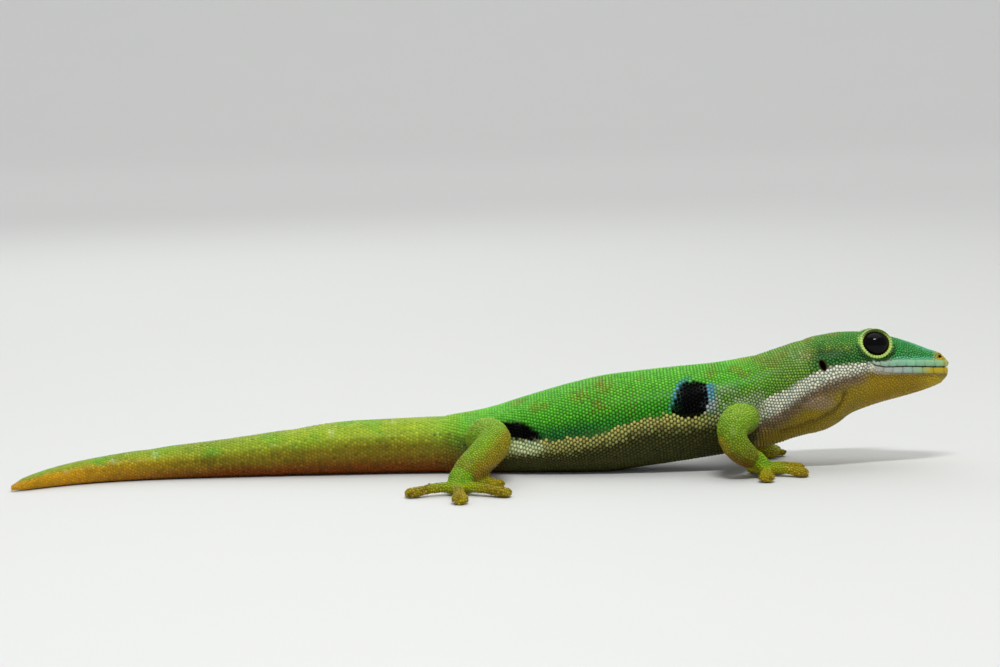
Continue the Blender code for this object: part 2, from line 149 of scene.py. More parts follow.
def speckle(points, size, seed):
    # a soft noise from -1 to 1, whose blotches are about size across
    offset = Vector((seed * 7.3, seed * 3.1, seed * 5.7))
    return np.array([noise.noise(Vector(p) / size + offset) for p in points])


# How finishes are put together

def setSockets(node, settings):
    for name, value in settings.items():
        node.inputs[name].default_value = value


def newFinish(name, settings):
    finish = bpy.data.materials.new(name)
    finish.use_nodes = True
    shader = finish.node_tree.nodes["Principled BSDF"]
    setSockets(shader, settings)
    return finish, finish.node_tree, shader


def addNode(tree, kind, settings={}):
    node = tree.nodes.new("ShaderNode" + kind)
    setSockets(node, settings)
    return node


def addTint(tree):
    tint = addNode(tree, "Attribute")
    tint.attribute_name = "tint"
    return tint


def joinUp(tree, *links):
    for start, output, end, socket in links:
        tree.links.new(start.outputs[output], end.inputs[socket])


# Camera, floor and light

photoCamera = {
    "lens": 100, "sensor": 36, "lookAt": (1.943, -0.524, 15.797), "elevation": 6.0, "distance": 315.7,
    "roll": -1.06,
}
studio = {
    "floorSize": 6000, "wallAt": 1500, "wallHeight": 2600, "bend": 600,
    "floorTone": (0.72, 0.72, 0.70), "airTone": (0.93, 0.96, 1.0), "airStrength": 0.40,
    "lights": {  # where each hangs, what it is aimed at, its size, power and tone
        "overhead": ((40, 60, 420), (0, 0, 8), (600, 420), 0.84, (1.0, 0.99, 0.96)),
        "window": ((30, -230, 360), (0, 0, 8), (130, 36), 0.92, (0.98, 0.99, 1.0)),
        "back": ((-120, 330, 240), (0, 0, 8), (300, 200), 0.25, (0.95, 0.98, 1.0)),
        "wall": ((0, 600, 700), (0, 1300, 0), (2000, 400), 5, (1.0, 1.0, 1.0)),
    },
}


def buildCamera(settings):
    tilt = math.radians(settings["elevation"])
    back = Vector((0, -math.cos(tilt), math.sin(tilt)))
    place = Vector(settings["lookAt"]) + back * settings["distance"]
    roll = Matrix.Rotation(math.radians(settings["roll"]), 3, "Z")
    turn = back.to_track_quat("Z", "Y").to_matrix() @ roll
    bpy.ops.object.camera_add(location=place * mm, rotation=turn.to_euler())
    camera = bpy.context.object
    camera.name = "photoCamera"
    camera.data.lens = settings["lens"]
    camera.data.sensor_width = settings["sensor"]
    camera.data.clip_start = 0.01
    camera.data.clip_end = 50
    bpy.context.scene.camera = camera


def floorFinish(tone):
    finish, tree, shader = newFinish("paleFloor", {"Roughness": 0.6})
    place = addNode(tree, "TexCoord")
    cloud = addNode(tree, "TexNoise", {"Scale": 30})
    ramp = addNode(tree, "ValToRGB")
    ramp.color_ramp.elements[0].color = (*[part * 0.985 for part in tone], 1)
    ramp.color_ramp.elements[1].color = (*tone, 1)
    joinUp(
        tree, (place, "Object", cloud, "Vector"), (cloud, "Fac", ramp, "Fac"),
        (ramp, "Color", shader, "Base Color"),
    )
    return finish


def buildStudio(settings):
    # a floor that bends up into a wall far behind
    wall, bend, half = settings["wallAt"], settings["bend"], settings["floorSize"] / 2
    profile = [(-half, 0), (wall - bend, 0)]
    for step in range(1, 13):
        angle = math.pi / 2 * step / 12
        profile.append((wall - bend + bend * math.sin(angle), bend - bend * math.cos(angle)))
    profile.append((wall, settings["wallHeight"]))
    drop = 0.02  # keeps the floor just clear of the animal's lowest faces
    verts = [(side * half * mm, y * mm, (z - drop) * mm) for y, z in profile for side in (-1, 1)]
    faces = [(2 * n, 2 * n + 1, 2 * n + 3, 2 * n + 2) for n in range(len(profile) - 1)]
    floor = meshObject("floor", verts, faces)
    floor.data.shade_smooth()
    floor.data.materials.append(floorFinish(settings["floorTone"]))
    for name, (place, target, size, power, tone) in settings["lights"].items():
        place = Vector(place) * mm
        aim = (Vector(target) * mm - place).to_track_quat("-Z", "Y")
        bpy.ops.object.light_add(type="AREA", location=place, rotation=aim.to_euler())
        lamp = bpy.context.object
        lamp.name = name + "Light"
        lamp.data.shape = "RECTANGLE"
        lamp.data.size, lamp.data.size_y = (side * mm for side in size)
        lamp.data.energy = power
        lamp.data.color = tone
    world = bpy.data.worlds.new("air")
    world.use_nodes = True
    air = {"Color": (*settings["airTone"], 1), "Strength": settings["airStrength"]}
    setSockets(world.node_tree.nodes["Background"], air)
    bpy.context.scene.world = world
    bpy.context.scene.view_settings.view_transform = "Standard"


buildCamera(photoCamera)
buildStudio(studio)
print("studio ready")


# The skin: one closed surface round all the flesh, drawn in from it by the depth of the scales

skinShape = {
    "grow": 0.30,  # closes the cuts between the solids
    "voxel": 0.15,
    "guideVoxel": 0.4,
    "coatDepth": 0.10,
    "smoothing": 5,
    "triangles": 190000,  # about how many the skin keeps
}


def copyOfNodes(name, nodeNames):
    copies = []
    for nodeName in nodeNames:
        copy = nodes[nodeName].copy()
        copy.data = nodes[nodeName].data.copy()
        copy.parent = None
        for key in list(copy.keys()):
            del copy[key]
        bpy.context.scene.collection.objects.link(copy)
        copies.append(copy)
    selectOnly(*copies)
    bpy.ops.object.join()
    joined = bpy.context.object
    joined.name = name
    joined.data.name = name
    joined.data.materials.clear()
    editAll(
        joined, (bpy.ops.mesh.remove_doubles, {"threshold": 0.000001}),
        (bpy.ops.mesh.customdata_custom_splitnormals_clear, {}),
    )
    return joined


def closedOver(name, nodeNames, voxel, depth):
    made = copyOfNodes(name, nodeNames)
    spread = made.modifiers.new("grow", "DISPLACE")
    spread.strength = skinShape["grow"] * mm
    spread.mid_level = 0
    remesh = made.modifiers.new("remesh", "REMESH")
    remesh.mode = "VOXEL"
    remesh.voxel_size = voxel * mm
    remesh.use_smooth_shade = True
    soften = made.modifiers.new("soften", "SMOOTH")
    soften.factor = 0.5
    soften.iterations = skinShape["smoothing"]
    shrink = made.modifiers.new("shrink", "DISPLACE")
    shrink.strength = -(skinShape["grow"] + depth) * mm
    shrink.mid_level = 0
    applyAll(made)
    return made


skin = closedOver("skin", fleshNodes, skinShape["voxel"], skinShape["coatDepth"])
guide = closedOver("bodyGuide", bodyNodes, skinShape["guideVoxel"], skinShape["coatDepth"])
print("skin closed:", len(skin.data.polygons), "faces")


# Where things are: the animal with its head unrolled, and the line down the middle of its body

pose = {
    "drawnAt": (0.592, -0.507, 0),  # from the model's place to the one that the measures were drawn in
    "roll": math.radians(-6),  # the head leans, and the neck twists to meet it
    "rollMiddle": (-1.031, 10.5), "rollStart": 32.03, "rollFull": 37.33,
    "spineStep": 0.5,
}


def turned(points, sign):
    points = np.atleast_2d(np.asarray(points, float))
    angle = sign * pose["roll"] * ease(pose["rollStart"], pose["rollFull"], points[:, 0])
    acrossHere = points[:, 1] - pose["rollMiddle"][0]
    upHere = points[:, 2] - pose["rollMiddle"][1]
    across = acrossHere * np.cos(angle) - upHere * np.sin(angle) + pose["rollMiddle"][0]
    up = acrossHere * np.sin(angle) + upHere * np.cos(angle) + pose["rollMiddle"][1]
    return np.stack([points[:, 0], across, up], axis=1)


def upright(points):
    return turned(np.atleast_2d(points) + pose["drawnAt"], -1)


def leaned(points):
    return turned(points, 1) - pose["drawnAt"]


def spineThrough(points):
    step = pose["spineStep"]
    rows = []
    for x in np.arange(points[:, 0].min() + step, points[:, 0].max() - step / 2, step):
        near = points[np.abs(points[:, 0] - x) < step * 0.7]
        low, high = near.min(0), near.max(0)
        rows.append((x, *((low + high) / 2)[1:], *((high - low) / 2)[1:]))
    rows = np.array(rows)
    for column in range(1, 5):
        padded = np.pad(rows[:, column], 3, mode="edge")
        rows[:, column] = np.convolve(padded, np.ones(7) / 7, mode="valid")
    return rows


spine = spineThrough(upright(pointsOf(guide)))
spineLengths = np.concatenate([[0], np.cumsum(np.linalg.norm(np.diff(spine[:, :3], axis=0), axis=1))])


def alongSpine(x):
    # the body's middle, across and up, and its half width and half height there
    return [np.interp(x, spine[:, 0], spine[:, column]) for column in range(1, 5)]


def labelTree():
    points, faces, owners = [], [], []
    for number, name in enumerate(fleshNodes):
        start = len(points)
        points += [Vector(p) for p in pointsOf(nodes[name])]
        for face in nodes[name].data.polygons:
            faces.append([start + corner for corner in face.vertices])
            owners.append(number)
    return BVHTree.FromPolygons(points, faces), np.array(owners)


solids, solidOwners = labelTree()


def partsAt(points):
    return solidOwners[[solids.find_nearest(Vector(p))[2] for p in points]]


def isPart(parts, *words):
    wanted = [n for n, name in enumerate(fleshNodes) if any(word in name for word in words)]
    return np.isin(parts, wanted)


def onLimbs(parts):
    return isPart(parts, "arm", "hand", "thigh", "shin", "foot")


# Detail of the skin: the slit of the mouth, the ears and the nostrils are cut, and folds are pressed in

headShape = {
    "mouth": [(54.6, 11.00), (51.35, 11.10), (48.35, 11.21), (45.85, 11.20), (44.75, 11.37), (44.1, 11.72)],
    "slit": 0.14,
    "snoutTurn": 51.0,  # where the snout's sides turn into its front
    "turnLength": 3.3,  # how far round the front it is from there to the middle
    "mouthLength": 10.2, "slitDepth": 0.55,
    "ear": {"x": 38.65, "z": 11.5, "radii": (0.29, 0.9, 0.62), "lean": -22},
    "nostril": {"x": 52.33, "z": 12.25, "radii": (0.17, 0.36, 0.14), "lean": 0},
    "eyeForward": math.radians(6), "eyeUp": math.radians(14), "eyeFlatten": 0.93,
}
folds = [  # each one's depth and width, and its line seen from the side, on both sides of the animal
    (0.42, 0.30, [(41.1, 8.3), (40.9, 7.3), (39.9, 6.3), (38.2, 5.4), (36.0, 4.7), (34.0, 4.3)]),
    (0.12, 0.45, [(39.6, 8.9), (37.6, 8.2), (35.9, 7.1), (34.2, 6.3)]),
    (0.25, 0.45, [(33.0, 9.4), (32.2, 8.0), (31.9, 6.6), (32.2, 5.2)]),
    (0.15, 0.40, [(27.0, 8.6), (26.6, 7.2), (27.0, 5.4)]),
    (0.18, 0.50, [(4.6, 6.6), (5.0, 5.2), (4.6, 3.8)]),
    (0.08, 0.30, [(43.4, 10.6), (41.6, 9.9), (40.2, 9.3)]),
]


def skinSide(x, z, side):
    # the point on the skin where a line across the head, at x and z with the head unrolled, meets it
    ends = leaned([(x, side * 12 + pose["rollMiddle"][0], z), (x, pose["rollMiddle"][0], z)])
    hit = skinTree.ray_cast(Vector(ends[0]), Vector(ends[1] - ends[0]))
    return hit[0] if hit[0] is not None else Vector(ends[1])


def inFold(flat, width, line):
    # 1 along the middle of a fold, fading to 0 beside it
    seen, line = flat[:, [0, 2]], np.array(line)
    nearest = np.full(len(flat), 99.0)
    for start, end in zip(line[:-1], line[1:]):
        along = end - start
        share = np.clip(((seen - start) @ along) / (along @ along), 0, 1)
        nearest = np.minimum(nearest, np.linalg.norm(seen - start - share[:, None] * along, axis=1))
    return np.exp(-((nearest / width) ** 2))


def pressFolds(obj):
    points, normals = pointsOf(obj), normalsOf(obj)
    flat = upright(points)
    push = np.zeros(len(points))
    for depth, width, line in folds:
        push = np.maximum(push, depth * inFold(flat, width, line))
    push[onLimbs(partsOfSkin)] = 0
    movePoints(obj, points - normals * push[:, None])


def cutFrom(obj, cutters):
    selectOnly(*cutters)
    if len(cutters) > 1:
        bpy.ops.object.join()
    cutter = bpy.context.object
    cut = obj.modifiers.new("cut", "BOOLEAN")
    cut.operation = "DIFFERENCE"
    cut.solver = "MANIFOLD"
    cut.object = cutter
    applyAll(obj)
    bpy.data.objects.remove(cutter)


def pitCutter(pit, side):
    place = skinSide(pit["x"], pit["z"], side)
    bpy.ops.mesh.primitive_uv_sphere_add(segments=28, ring_count=18, radius=1, location=place * mm)
    cutter = bpy.context.object
    cutter.scale = Vector(pit["radii"]) * mm
    cutter.rotation_euler = (0, math.radians(pit["lean"]), 0)
    settle(cutter)
    return cutter


def mouthHeight(x):
    line = np.array(headShape["mouth"])[::-1]
    return np.interp(x, line[:, 0], line[:, 1])


def besideMouth(along, rise):
    # a place on the skin above or below the mouth line and the way outwards there, with the head unrolled:
    # along is counted from the front of the snout, minus to the right
    share = min(abs(along) / headShape["turnLength"], 1)
    side = 1 if along > 0 else -1
    aim = np.array([math.cos(math.pi / 2 * share), side * math.sin(math.pi / 2 * share), 0])
    x = headShape["snoutTurn"] - max(abs(along) - headShape["turnLength"], 0)
    start = np.array([x, pose["rollMiddle"][0], 0])
    reached = x + aim[0] * 2.4
    cast = max(abs(rise), 0.10) * (1 if rise > 0 else -1)
    for _ in range(3):
        start[2] = mouthHeight(reached) + cast
        far, near = leaned(np.array([start + aim * 9, start]))
        hit = skinTree.ray_cast(Vector(far), Vector(near - far))[0]
        place = upright(np.array([hit]))[0]
        reached = place[0]
    return place + np.array([0, 0, rise - cast]), aim


def slitCutter():
    # a band let into the skin all along the mouth line
    length, depth = headShape["mouthLength"], headShape["slitDepth"]
    points = []
    for along in np.linspace(-length, length, 69):
        place, aim = besideMouth(along, 0)
        half = np.array([0, 0, headShape["slit"] / 2]) * np.interp(abs(along), (3, length), (1.0, 0.55))
        share = np.interp(abs(along), (0, 1, 3), (0.15, 0.35, 1))  # shallower at the front
        outer, inner = place + aim * 0.8, place - aim * depth * share
        points += [outer + half, outer - half, inner - half, inner + half]
    points = leaned(points)
    last = len(points) - 4
    faces = [(0, 1, 2, 3), (last + 3, last + 2, last + 1, last)]
    for ring in range(0, last, 4):
        faces += [(ring + i, ring + (i + 1) % 4, ring + 4 + (i + 1) % 4, ring + 4 + i) for i in range(4)]
    cutter = meshObject("slit", [Vector(p) * mm for p in points], faces)
    faceOutwards(cutter)
    return cutter


def thinDown(obj, triangles):
    # the head and feet keep their small faces, and the rest of the skin gives some up
    group = obj.vertex_groups.new(name="thin")
    loose = np.nonzero(~isPart(partsOfSkin, "head", "jaw", "hand", "foot"))[0]
    group.add([int(i) for i in loose], 1.0, "REPLACE")
    thin = obj.modifiers.new("thin", "DECIMATE")
    thin.vertex_group = group.name
    thin.ratio = triangles / (2 * len(obj.data.polygons))
    applyAll(obj)
    obj.vertex_groups.clear()


partsOfSkin = partsAt(pointsOf(skin))
pressFolds(skin)
thinDown(skin, skinShape["triangles"])
skinTree = treeOf(skin)
cutFrom(skin, [pitCutter(headShape[pit], side) for pit in ("ear", "nostril") for side in (-1, 1)])
cutFrom(skin, [slitCutter()])
skinTree = treeOf(skin)
skinPoints, skinNormals = pointsOf(skin), normalsOf(skin)
partsOfSkin = partsAt(skinPoints)
print("skin shaped:", len(skin.data.polygons), "faces")


# Where the scales grow: in rows round the body, and close together without rows on the head and limbs

scaleSize = {
    "alongBody": [(-53.5, 0.26), (-48, 0.32), (-36, 0.40), (-8, 0.42), (0, 0.38), (8, 0.39), (14, 0.43),
                  (24, 0.44), (31, 0.38), (37.4, 0.33)],
    "rowShare": 0.86,  # how far apart rows are, as a share of the scales' width
    "lastRow": 37.6,
    "back": 0.96, "beads": 1.2, "belly": 1.25,  # how wide beside the flank's
    "jitter": 0.028,
    "head": 0.30, "snout": 0.27, "throat": 0.30, "cheek": 0.34,
    "upperLimb": 0.30, "lowerLimb": 0.29, "foot": 0.28,
    "rays": 120,
    "tries": 9,  # places tried for each scale that there is room for
    "apart": 0.80,  # how close two may stand, as a share of their width
    "pushReach": 1.08, "push": 0.42,  # how far they push each other, and how hard
    "eyeGap": 1.92, "pitGap": 0.16,  # bare skin round each eye and pit
}


def guideRing(distance, tree):
    # the outline of the body at a distance along its spine, from the middle of the back down each side
    middle, ahead, behind = (
        Vector([np.interp(d, spineLengths, spine[:, axis]) for axis in range(3)])
        for d in (distance, distance + 1.5, distance - 1.5)
    )
    along = (ahead - behind).normalized()
    across = along.cross(Vector((0, 0, 1))).normalized()
    up = across.cross(along)
    half = scaleSize["rays"] // 2
    sides = []
    for sign in (-1, 1):
        points = []
        for step in range(half + 1):
            angle = math.pi * step / half
            hit = tree.ray_cast(middle, up * math.cos(angle) + across * sign * math.sin(angle))
            if hit[0] is not None:
                points.append(hit[0])
        sides.append(np.array(points))
    return sides


def widthShare(x, share):
    # how much wider scales are at a share of the way from back to belly
    back, beads, belly = (scaleSize[name] - 1 for name in ("back", "beads", "belly"))
    trunk = ease(-2, 4, x) * fade(30, 34, x)
    flank = back * fade(0.08, 0.35, share) + beads * between(share, 0.5, 0.66, 0.06)
    return 1 + trunk * flank + belly * ease(0.74, 0.88, share)


def rowsRoundBody():
    tree = treeOf(guide, upright(pointsOf(guide)))
    xs, sizes = np.array(scaleSize["alongBody"]).T
    distance, row, found = 0.0, 0, []
    while distance < spineLengths[-1]:
        x = np.interp(distance, spineLengths, spine[:, 0])
        if x > scaleSize["lastRow"]:
            break
        size = np.interp(x, xs, sizes)
        for number, points in enumerate(guideRing(distance, tree)):
            if len(points) < 8:
                continue
            steps = np.linalg.norm(np.diff(points, axis=0), axis=1)
            run = np.concatenate([[0], np.cumsum(steps)])
            widths = size * widthShare(x, run / run[-1])
            counted = np.concatenate([[0], np.cumsum(steps / ((widths[1:] + widths[:-1]) / 2))])
            places = np.arange(0.5 * (row % 2), counted[-1] - 0.3, 1.0)
            if number == 1 and row % 2 == 0:
                places = places[1:]
            spots = np.stack([np.interp(places, counted, points[:, axis]) for axis in range(3)], axis=1)
            for spot, width in zip(spots, np.interp(places, counted, widths)):
                found.append((*spot, width))
        distance += size * scaleSize["rowShare"]
        row += 1
    found = np.array(found)
    return leaned(found[:, :3]), found[:, 3]


def onSkin(points, reach):
    # the nearest places on the skin, its smooth normals there, and which places are within reach
    places, normals, close = [], [], []
    for point in points:
        hit = skinTree.find_nearest(Vector(point))
        corners = list(skin.data.polygons[hit[2]].vertices)
        weights = 1 / (np.linalg.norm(skinPoints[corners] - np.array(hit[0]), axis=1) + 0.02)
        places.append(hit[0])
        normals.append((skinNormals[corners] * weights[:, None]).sum(0))
        close.append(hit[3] < reach)
    return np.array(places), unit(np.array(normals)), np.array(close)


def eyeFrame(side):
    # the middle of an eye and its outward, upward and forward directions
    low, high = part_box("left_eye" if side > 0 else "right_eye")
    middle = (low + high) / 2 / mm
    forward, up = headShape["eyeForward"], headShape["eyeUp"]
    outward = Vector((math.sin(forward), side * math.cos(forward) * math.cos(up), math.sin(up)))
    outward.rotate(Matrix.Rotation(pose["roll"], 3, "X"))
    upward = (Vector((0, 0, 1)) - outward * outward.z).normalized()
    return middle, outward.normalized(), upward, upward.cross(outward) * side


def fromEye(points):
    # how far points are from the nearer eye's axis, and how far out along it
    best = np.full(len(points), 99.0)
    outs = np.zeros(len(points))
    for side in (-1, 1):
        middle, outward, _, _ = eyeFrame(side)
        rel = points - np.array(middle)
        out = rel @ np.array(outward)
        radial = np.linalg.norm(rel - out[:, None] * np.array(outward), axis=1)
        radial[out < -1.2] = 99
        outs = np.where(radial < best, out, outs)
        best = np.minimum(best, radial)
    return best, outs


def onLips(flat):
    above = flat[:, 2] - mouthHeight(flat[:, 0])
    front = ease(44.2, 46.2, flat[:, 0])
    return (flat[:, 0] > 44.4) & (above < 0.30 + 0.52 * front) & (above > -0.30 - 0.50 * front)


def nearPit(flat, pit, margin):
    # 1 at the edge of a pit, with a margin round it
    lean = math.radians(pit["lean"])
    x, z = flat[:, 0] - pit["x"], flat[:, 2] - pit["z"]
    wide = (x * math.cos(lean) - z * math.sin(lean)) / (pit["radii"][0] + margin)
    high = (x * math.sin(lean) + z * math.cos(lean)) / (pit["radii"][2] + margin)
    return np.hypot(wide, high)


def sizeAt(points, parts):
    flat = upright(points)
    size = np.full(len(points), scaleSize["head"])
    size[flat[:, 0] > 48] = scaleSize["snout"]
    size[flat[:, 2] < mouthHeight(flat[:, 0]) - 1.2] = scaleSize["throat"]
    cheek = between(flat[:, 0], 36, 43.5, 0.3) * between(flat[:, 2] - mouthHeight(43.0), -4.5, 0.6, 0.4)
    size = size + (scaleSize["cheek"] - size) * cheek
    for area, name in (
        (fromEye(points)[0] < 2.3, "snout"), (isPart(parts, "arm", "thigh"), "upperLimb"),
        (isPart(parts, "forearm", "shin"), "lowerLimb"), (isPart(parts, "hand", "foot"), "foot"),
    ):
        size[area] = scaleSize[name]
    along = np.array(scaleSize["alongBody"])
    return np.where(isPart(parts, "tail"), np.interp(flat[:, 0], along[:, 0], along[:, 1]), size)


def scatter(rows, seed):
    # even, close places on the skin of the head and limbs, round the rows that are already there
    draw = np.random.default_rng(seed)
    wanted = isPart(partsOfSkin, "head", "jaw", "neck", "tail_tip") | onLimbs(partsOfSkin)
    faces = [face for face in skin.data.polygons if wanted[face.vertices[0]]]
    middles = np.array([face.center for face in faces]) / mm
    parts = partsOfSkin[[face.vertices[0] for face in faces]]
    areas = np.array([face.area for face in faces]) / mm**2
    shares = areas / sizeAt(middles, parts) ** 2
    total = int(shares.sum() * scaleSize["tries"])
    picks = draw.choice(len(faces), total, p=shares / shares.sum())
    spread = np.sqrt(areas[picks])[:, None] * draw.normal(0, 0.35, (total, 3))
    tries, _, _ = onSkin(middles[picks] + spread, 9)
    sizes = sizeAt(tries, parts[picks])
    tree, fixed = pointTree(tries), pointTree(rows)
    alive = np.ones(total, bool)
    kept = []
    for number in range(total):
        if not alive[number]:
            continue
        reach = sizes[number] * scaleSize["apart"]
        if fixed.find(tries[number])[2] < reach:
            continue
        kept.append(number)
        for _, other, _ in tree.find_range(tries[number], reach):
            alive[other] = False
    return tries[kept], sizes[kept]


def relax(points, sizes, rows, rounds):
    # pushes scales that stand too close away from each other, along the skin
    for _ in range(rounds):
        tree = pointTree(np.concatenate([points, rows]))
        moved = points.copy()
        for number, point in enumerate(points):
            push = np.zeros(3)
            reach = sizes[number] * scaleSize["pushReach"]
            for place, other, apart in tree.find_range(point, reach):
                if other != number and apart > 1e-6:
                    push += (point - np.array(place)) * (reach / apart - 1)
            moved[number] = point + push * scaleSize["push"]
        points, _, _ = onSkin(moved, 9)
    return points


rowPoints, rowSizes = rowsRoundBody()
rowPoints += np.random.default_rng(2).normal(0, scaleSize["jitter"], rowPoints.shape)
rowPoints, _, close = onSkin(rowPoints, 0.35)
close &= isPart(partsAt(rowPoints), "neck", "torso", "tail")
rowPoints, rowSizes = rowPoints[close], rowSizes[close]
freePoints, freeSizes = scatter(rowPoints, seed=5)
freePoints = relax(freePoints, freeSizes, rowPoints, rounds=6)
scalePoints, scaleNormals, _ = onSkin(np.concatenate([rowPoints, freePoints]), 9)
scaleSizes = np.concatenate([rowSizes, freeSizes])
scaleParts = partsAt(scalePoints)
flatScales = upright(scalePoints)
axisGap, axisOut = fromEye(scalePoints)
bare = onLips(flatScales) & isPart(scaleParts, "head", "jaw")
bare |= (axisGap < scaleSize["eyeGap"]) & (axisOut > -0.5)
for pit in ("ear", "nostril"):
    bare |= (nearPit(flatScales, headShape[pit], scaleSize["pitGap"]) < 1) & isPart(scaleParts, "head")
scalePoints, scaleNormals, scaleSizes, scaleParts = (
    row[~bare] for row in (scalePoints, scaleNormals, scaleSizes, scaleParts)
)
print("scales placed:", len(scalePoints))


# Markings, the same on the skin and on the scales

tones = {
    "lime": (0.15, 0.56, 0.040), "leaf": (0.075, 0.46, 0.012), "deep": (0.022, 0.27, 0.006),
    # the belly's dark olive is partly its own colour and partly painted shade under the body
    "olive": (0.21, 0.32, 0.050), "cream": (0.47, 0.455, 0.115), "belly": (0.056, 0.058, 0.012),
    "tailTop": (0.355, 0.49, 0.014), "tailSide": (0.21, 0.165, 0.002), "tailUnder": (0.20, 0.045, 0.001),
    "tailEnd": (0.64, 0.32, 0.002), "white": (0.78, 0.80, 0.62), "lilac": (0.17, 0.115, 0.050),
    "pink": (0.32, 0.23, 0.15),
    "throat": (0.31, 0.22, 0.008), "chin": (0.34, 0.22, 0.004), "black": (0.0012, 0.0015, 0.0012),
    "blue": (0.08, 0.30, 0.50), "teal": (0.035, 0.26, 0.22), "turquoise": (0.16, 0.56, 0.34),
    "emerald": (0.014, 0.135, 0.028), "underEyeShadow": (0.02, 0.055, 0.008),
    "crown": (0.078, 0.30, 0.034), "snout": (0.050, 0.34, 0.07), "pale": (0.72, 0.82, 0.42),
    "yellow": (0.60, 0.44, 0.02), "rust": (0.32, 0.12, 0.008), "ring": (0.48, 0.74, 0.16),
    "limb": (0.27, 0.48, 0.008), "limbLight": (0.50, 0.74, 0.09), "orange": (0.52, 0.30, 0.003),
    "toe": (0.52, 0.47, 0.004), "inner": (0.34, 0.14, 0.02), "umber": (0.06, 0.035, 0.004),
    "pit": (0.05, 0.010, 0.004), "grey": (0.42, 0.46, 0.34), "brown": (0.16, 0.085, 0.02),
    "rim": (0.20, 0.09, 0.02), "slit": (0.10, 0.045, 0.012), "shadow": (0.07, 0.03, 0.012),
    "lilacWhite": (0.48, 0.48, 0.46),
}
marks = {
    "creamEdge": [(-2, 3.8), (4.5, 4.0), (9.0, 4.2), (13.5, 4.95), (16.5, 5.9), (18.9, 6.8), (22.4, 6.75),
                  (26.3, 7.1), (30, 7.4), (34, 7.5)],
    "creamDepth": 2.3,
    "whiteTop": [(31.4, 7.9), (32.2, 8.5), (34.7, 9.2), (37.5, 10.6), (39.8, 11.5), (43.6, 11.8), (45, 12)],
    "whiteFoot": [(31.4, 5.9), (34.2, 7.2), (36.3, 8.4), (38.5, 9.6), (40.8, 10.5), (43.8, 10.9), (45, 11)],
    "lilacFoot": [(31.4, 4.2), (34.2, 5.1), (36, 6.3), (38.4, 7.8), (40.8, 8.9), (43.3, 9.5), (46, 10.4)],
    "ocellus": {"middle": (23.82, 8.50), "half": (1.86, 1.92), "lean": 0.22, "taper": 0.16},
    "groinBlack": {"middle": (4.5, 5.1), "half": (2.05, 1.1), "lean": -0.6},
    "groinPale": {"middle": (5.3, 3.4), "half": (2.1, 0.95)},
    "throatPinkAndHighlight": ((38.2, 7.3), (2.2, 1.0)), "napeGrey": ((36.3, 12.7), (1.5, 0.9)),
    "noseOrange": ((52.3, 12.2), (0.9, 0.6)),
    "spots": 22,
    "smudges": [(14.2, 9.9, 1.5), (11.3, 8.9, 1.3), (13.2, 8.0, 1.0), (29.8, 11.1, 0.9), (31.9, 12.4, 0.9)],
}


def blend(colours, tone, amount):
    amount = np.clip(amount, 0, 1)[:, None]
    return colours * (1 - amount) + np.array(tones[tone]) * amount


def allOver(tone, points):
    return np.tile(np.array(tones[tone]), (len(points), 1))


def layered(colours, layers):
    for tone, amount in layers:
        colours = blend(colours, tone, amount)
    return colours


def fromSpot(x, z, spot, half):
    # 1 at the edge of an oval seen from the side, less inside it
    return np.hypot((x - spot[0]) / half[0], (z - spot[1]) / half[1])


def blob(flat, mark, power=2.6):
    # 1 at the edge of a rounded patch seen from the side, less inside it
    x = (flat[:, 0] - mark["middle"][0]) / mark["half"][0]
    z = (flat[:, 2] - mark["middle"][1]) / mark["half"][1]
    x = (x - mark.get("lean", 0) * z) / (1 - mark.get("taper", 0) * np.clip(z, -1.5, 1.5))
    return (np.abs(x) ** power + np.abs(z) ** power) ** (1 / power)


def edgeLine(name, x):
    line = np.array(marks[name])
    return np.interp(x, line[:, 0], line[:, 1])


def rustSpots():
    # small flecks in two loose rows on the back, and a few on the flanks and neck
    draw = np.random.default_rng(11)
    spots = []
    for _ in range(marks["spots"]):
        x = draw.uniform(3, 38)
        share = draw.choice([0.28, 0.75]) + draw.normal(0, 0.10)
        side = draw.choice([-1, 1])
        spots.append((x, side * share, draw.uniform(0.5, 1.1)))
    return spots


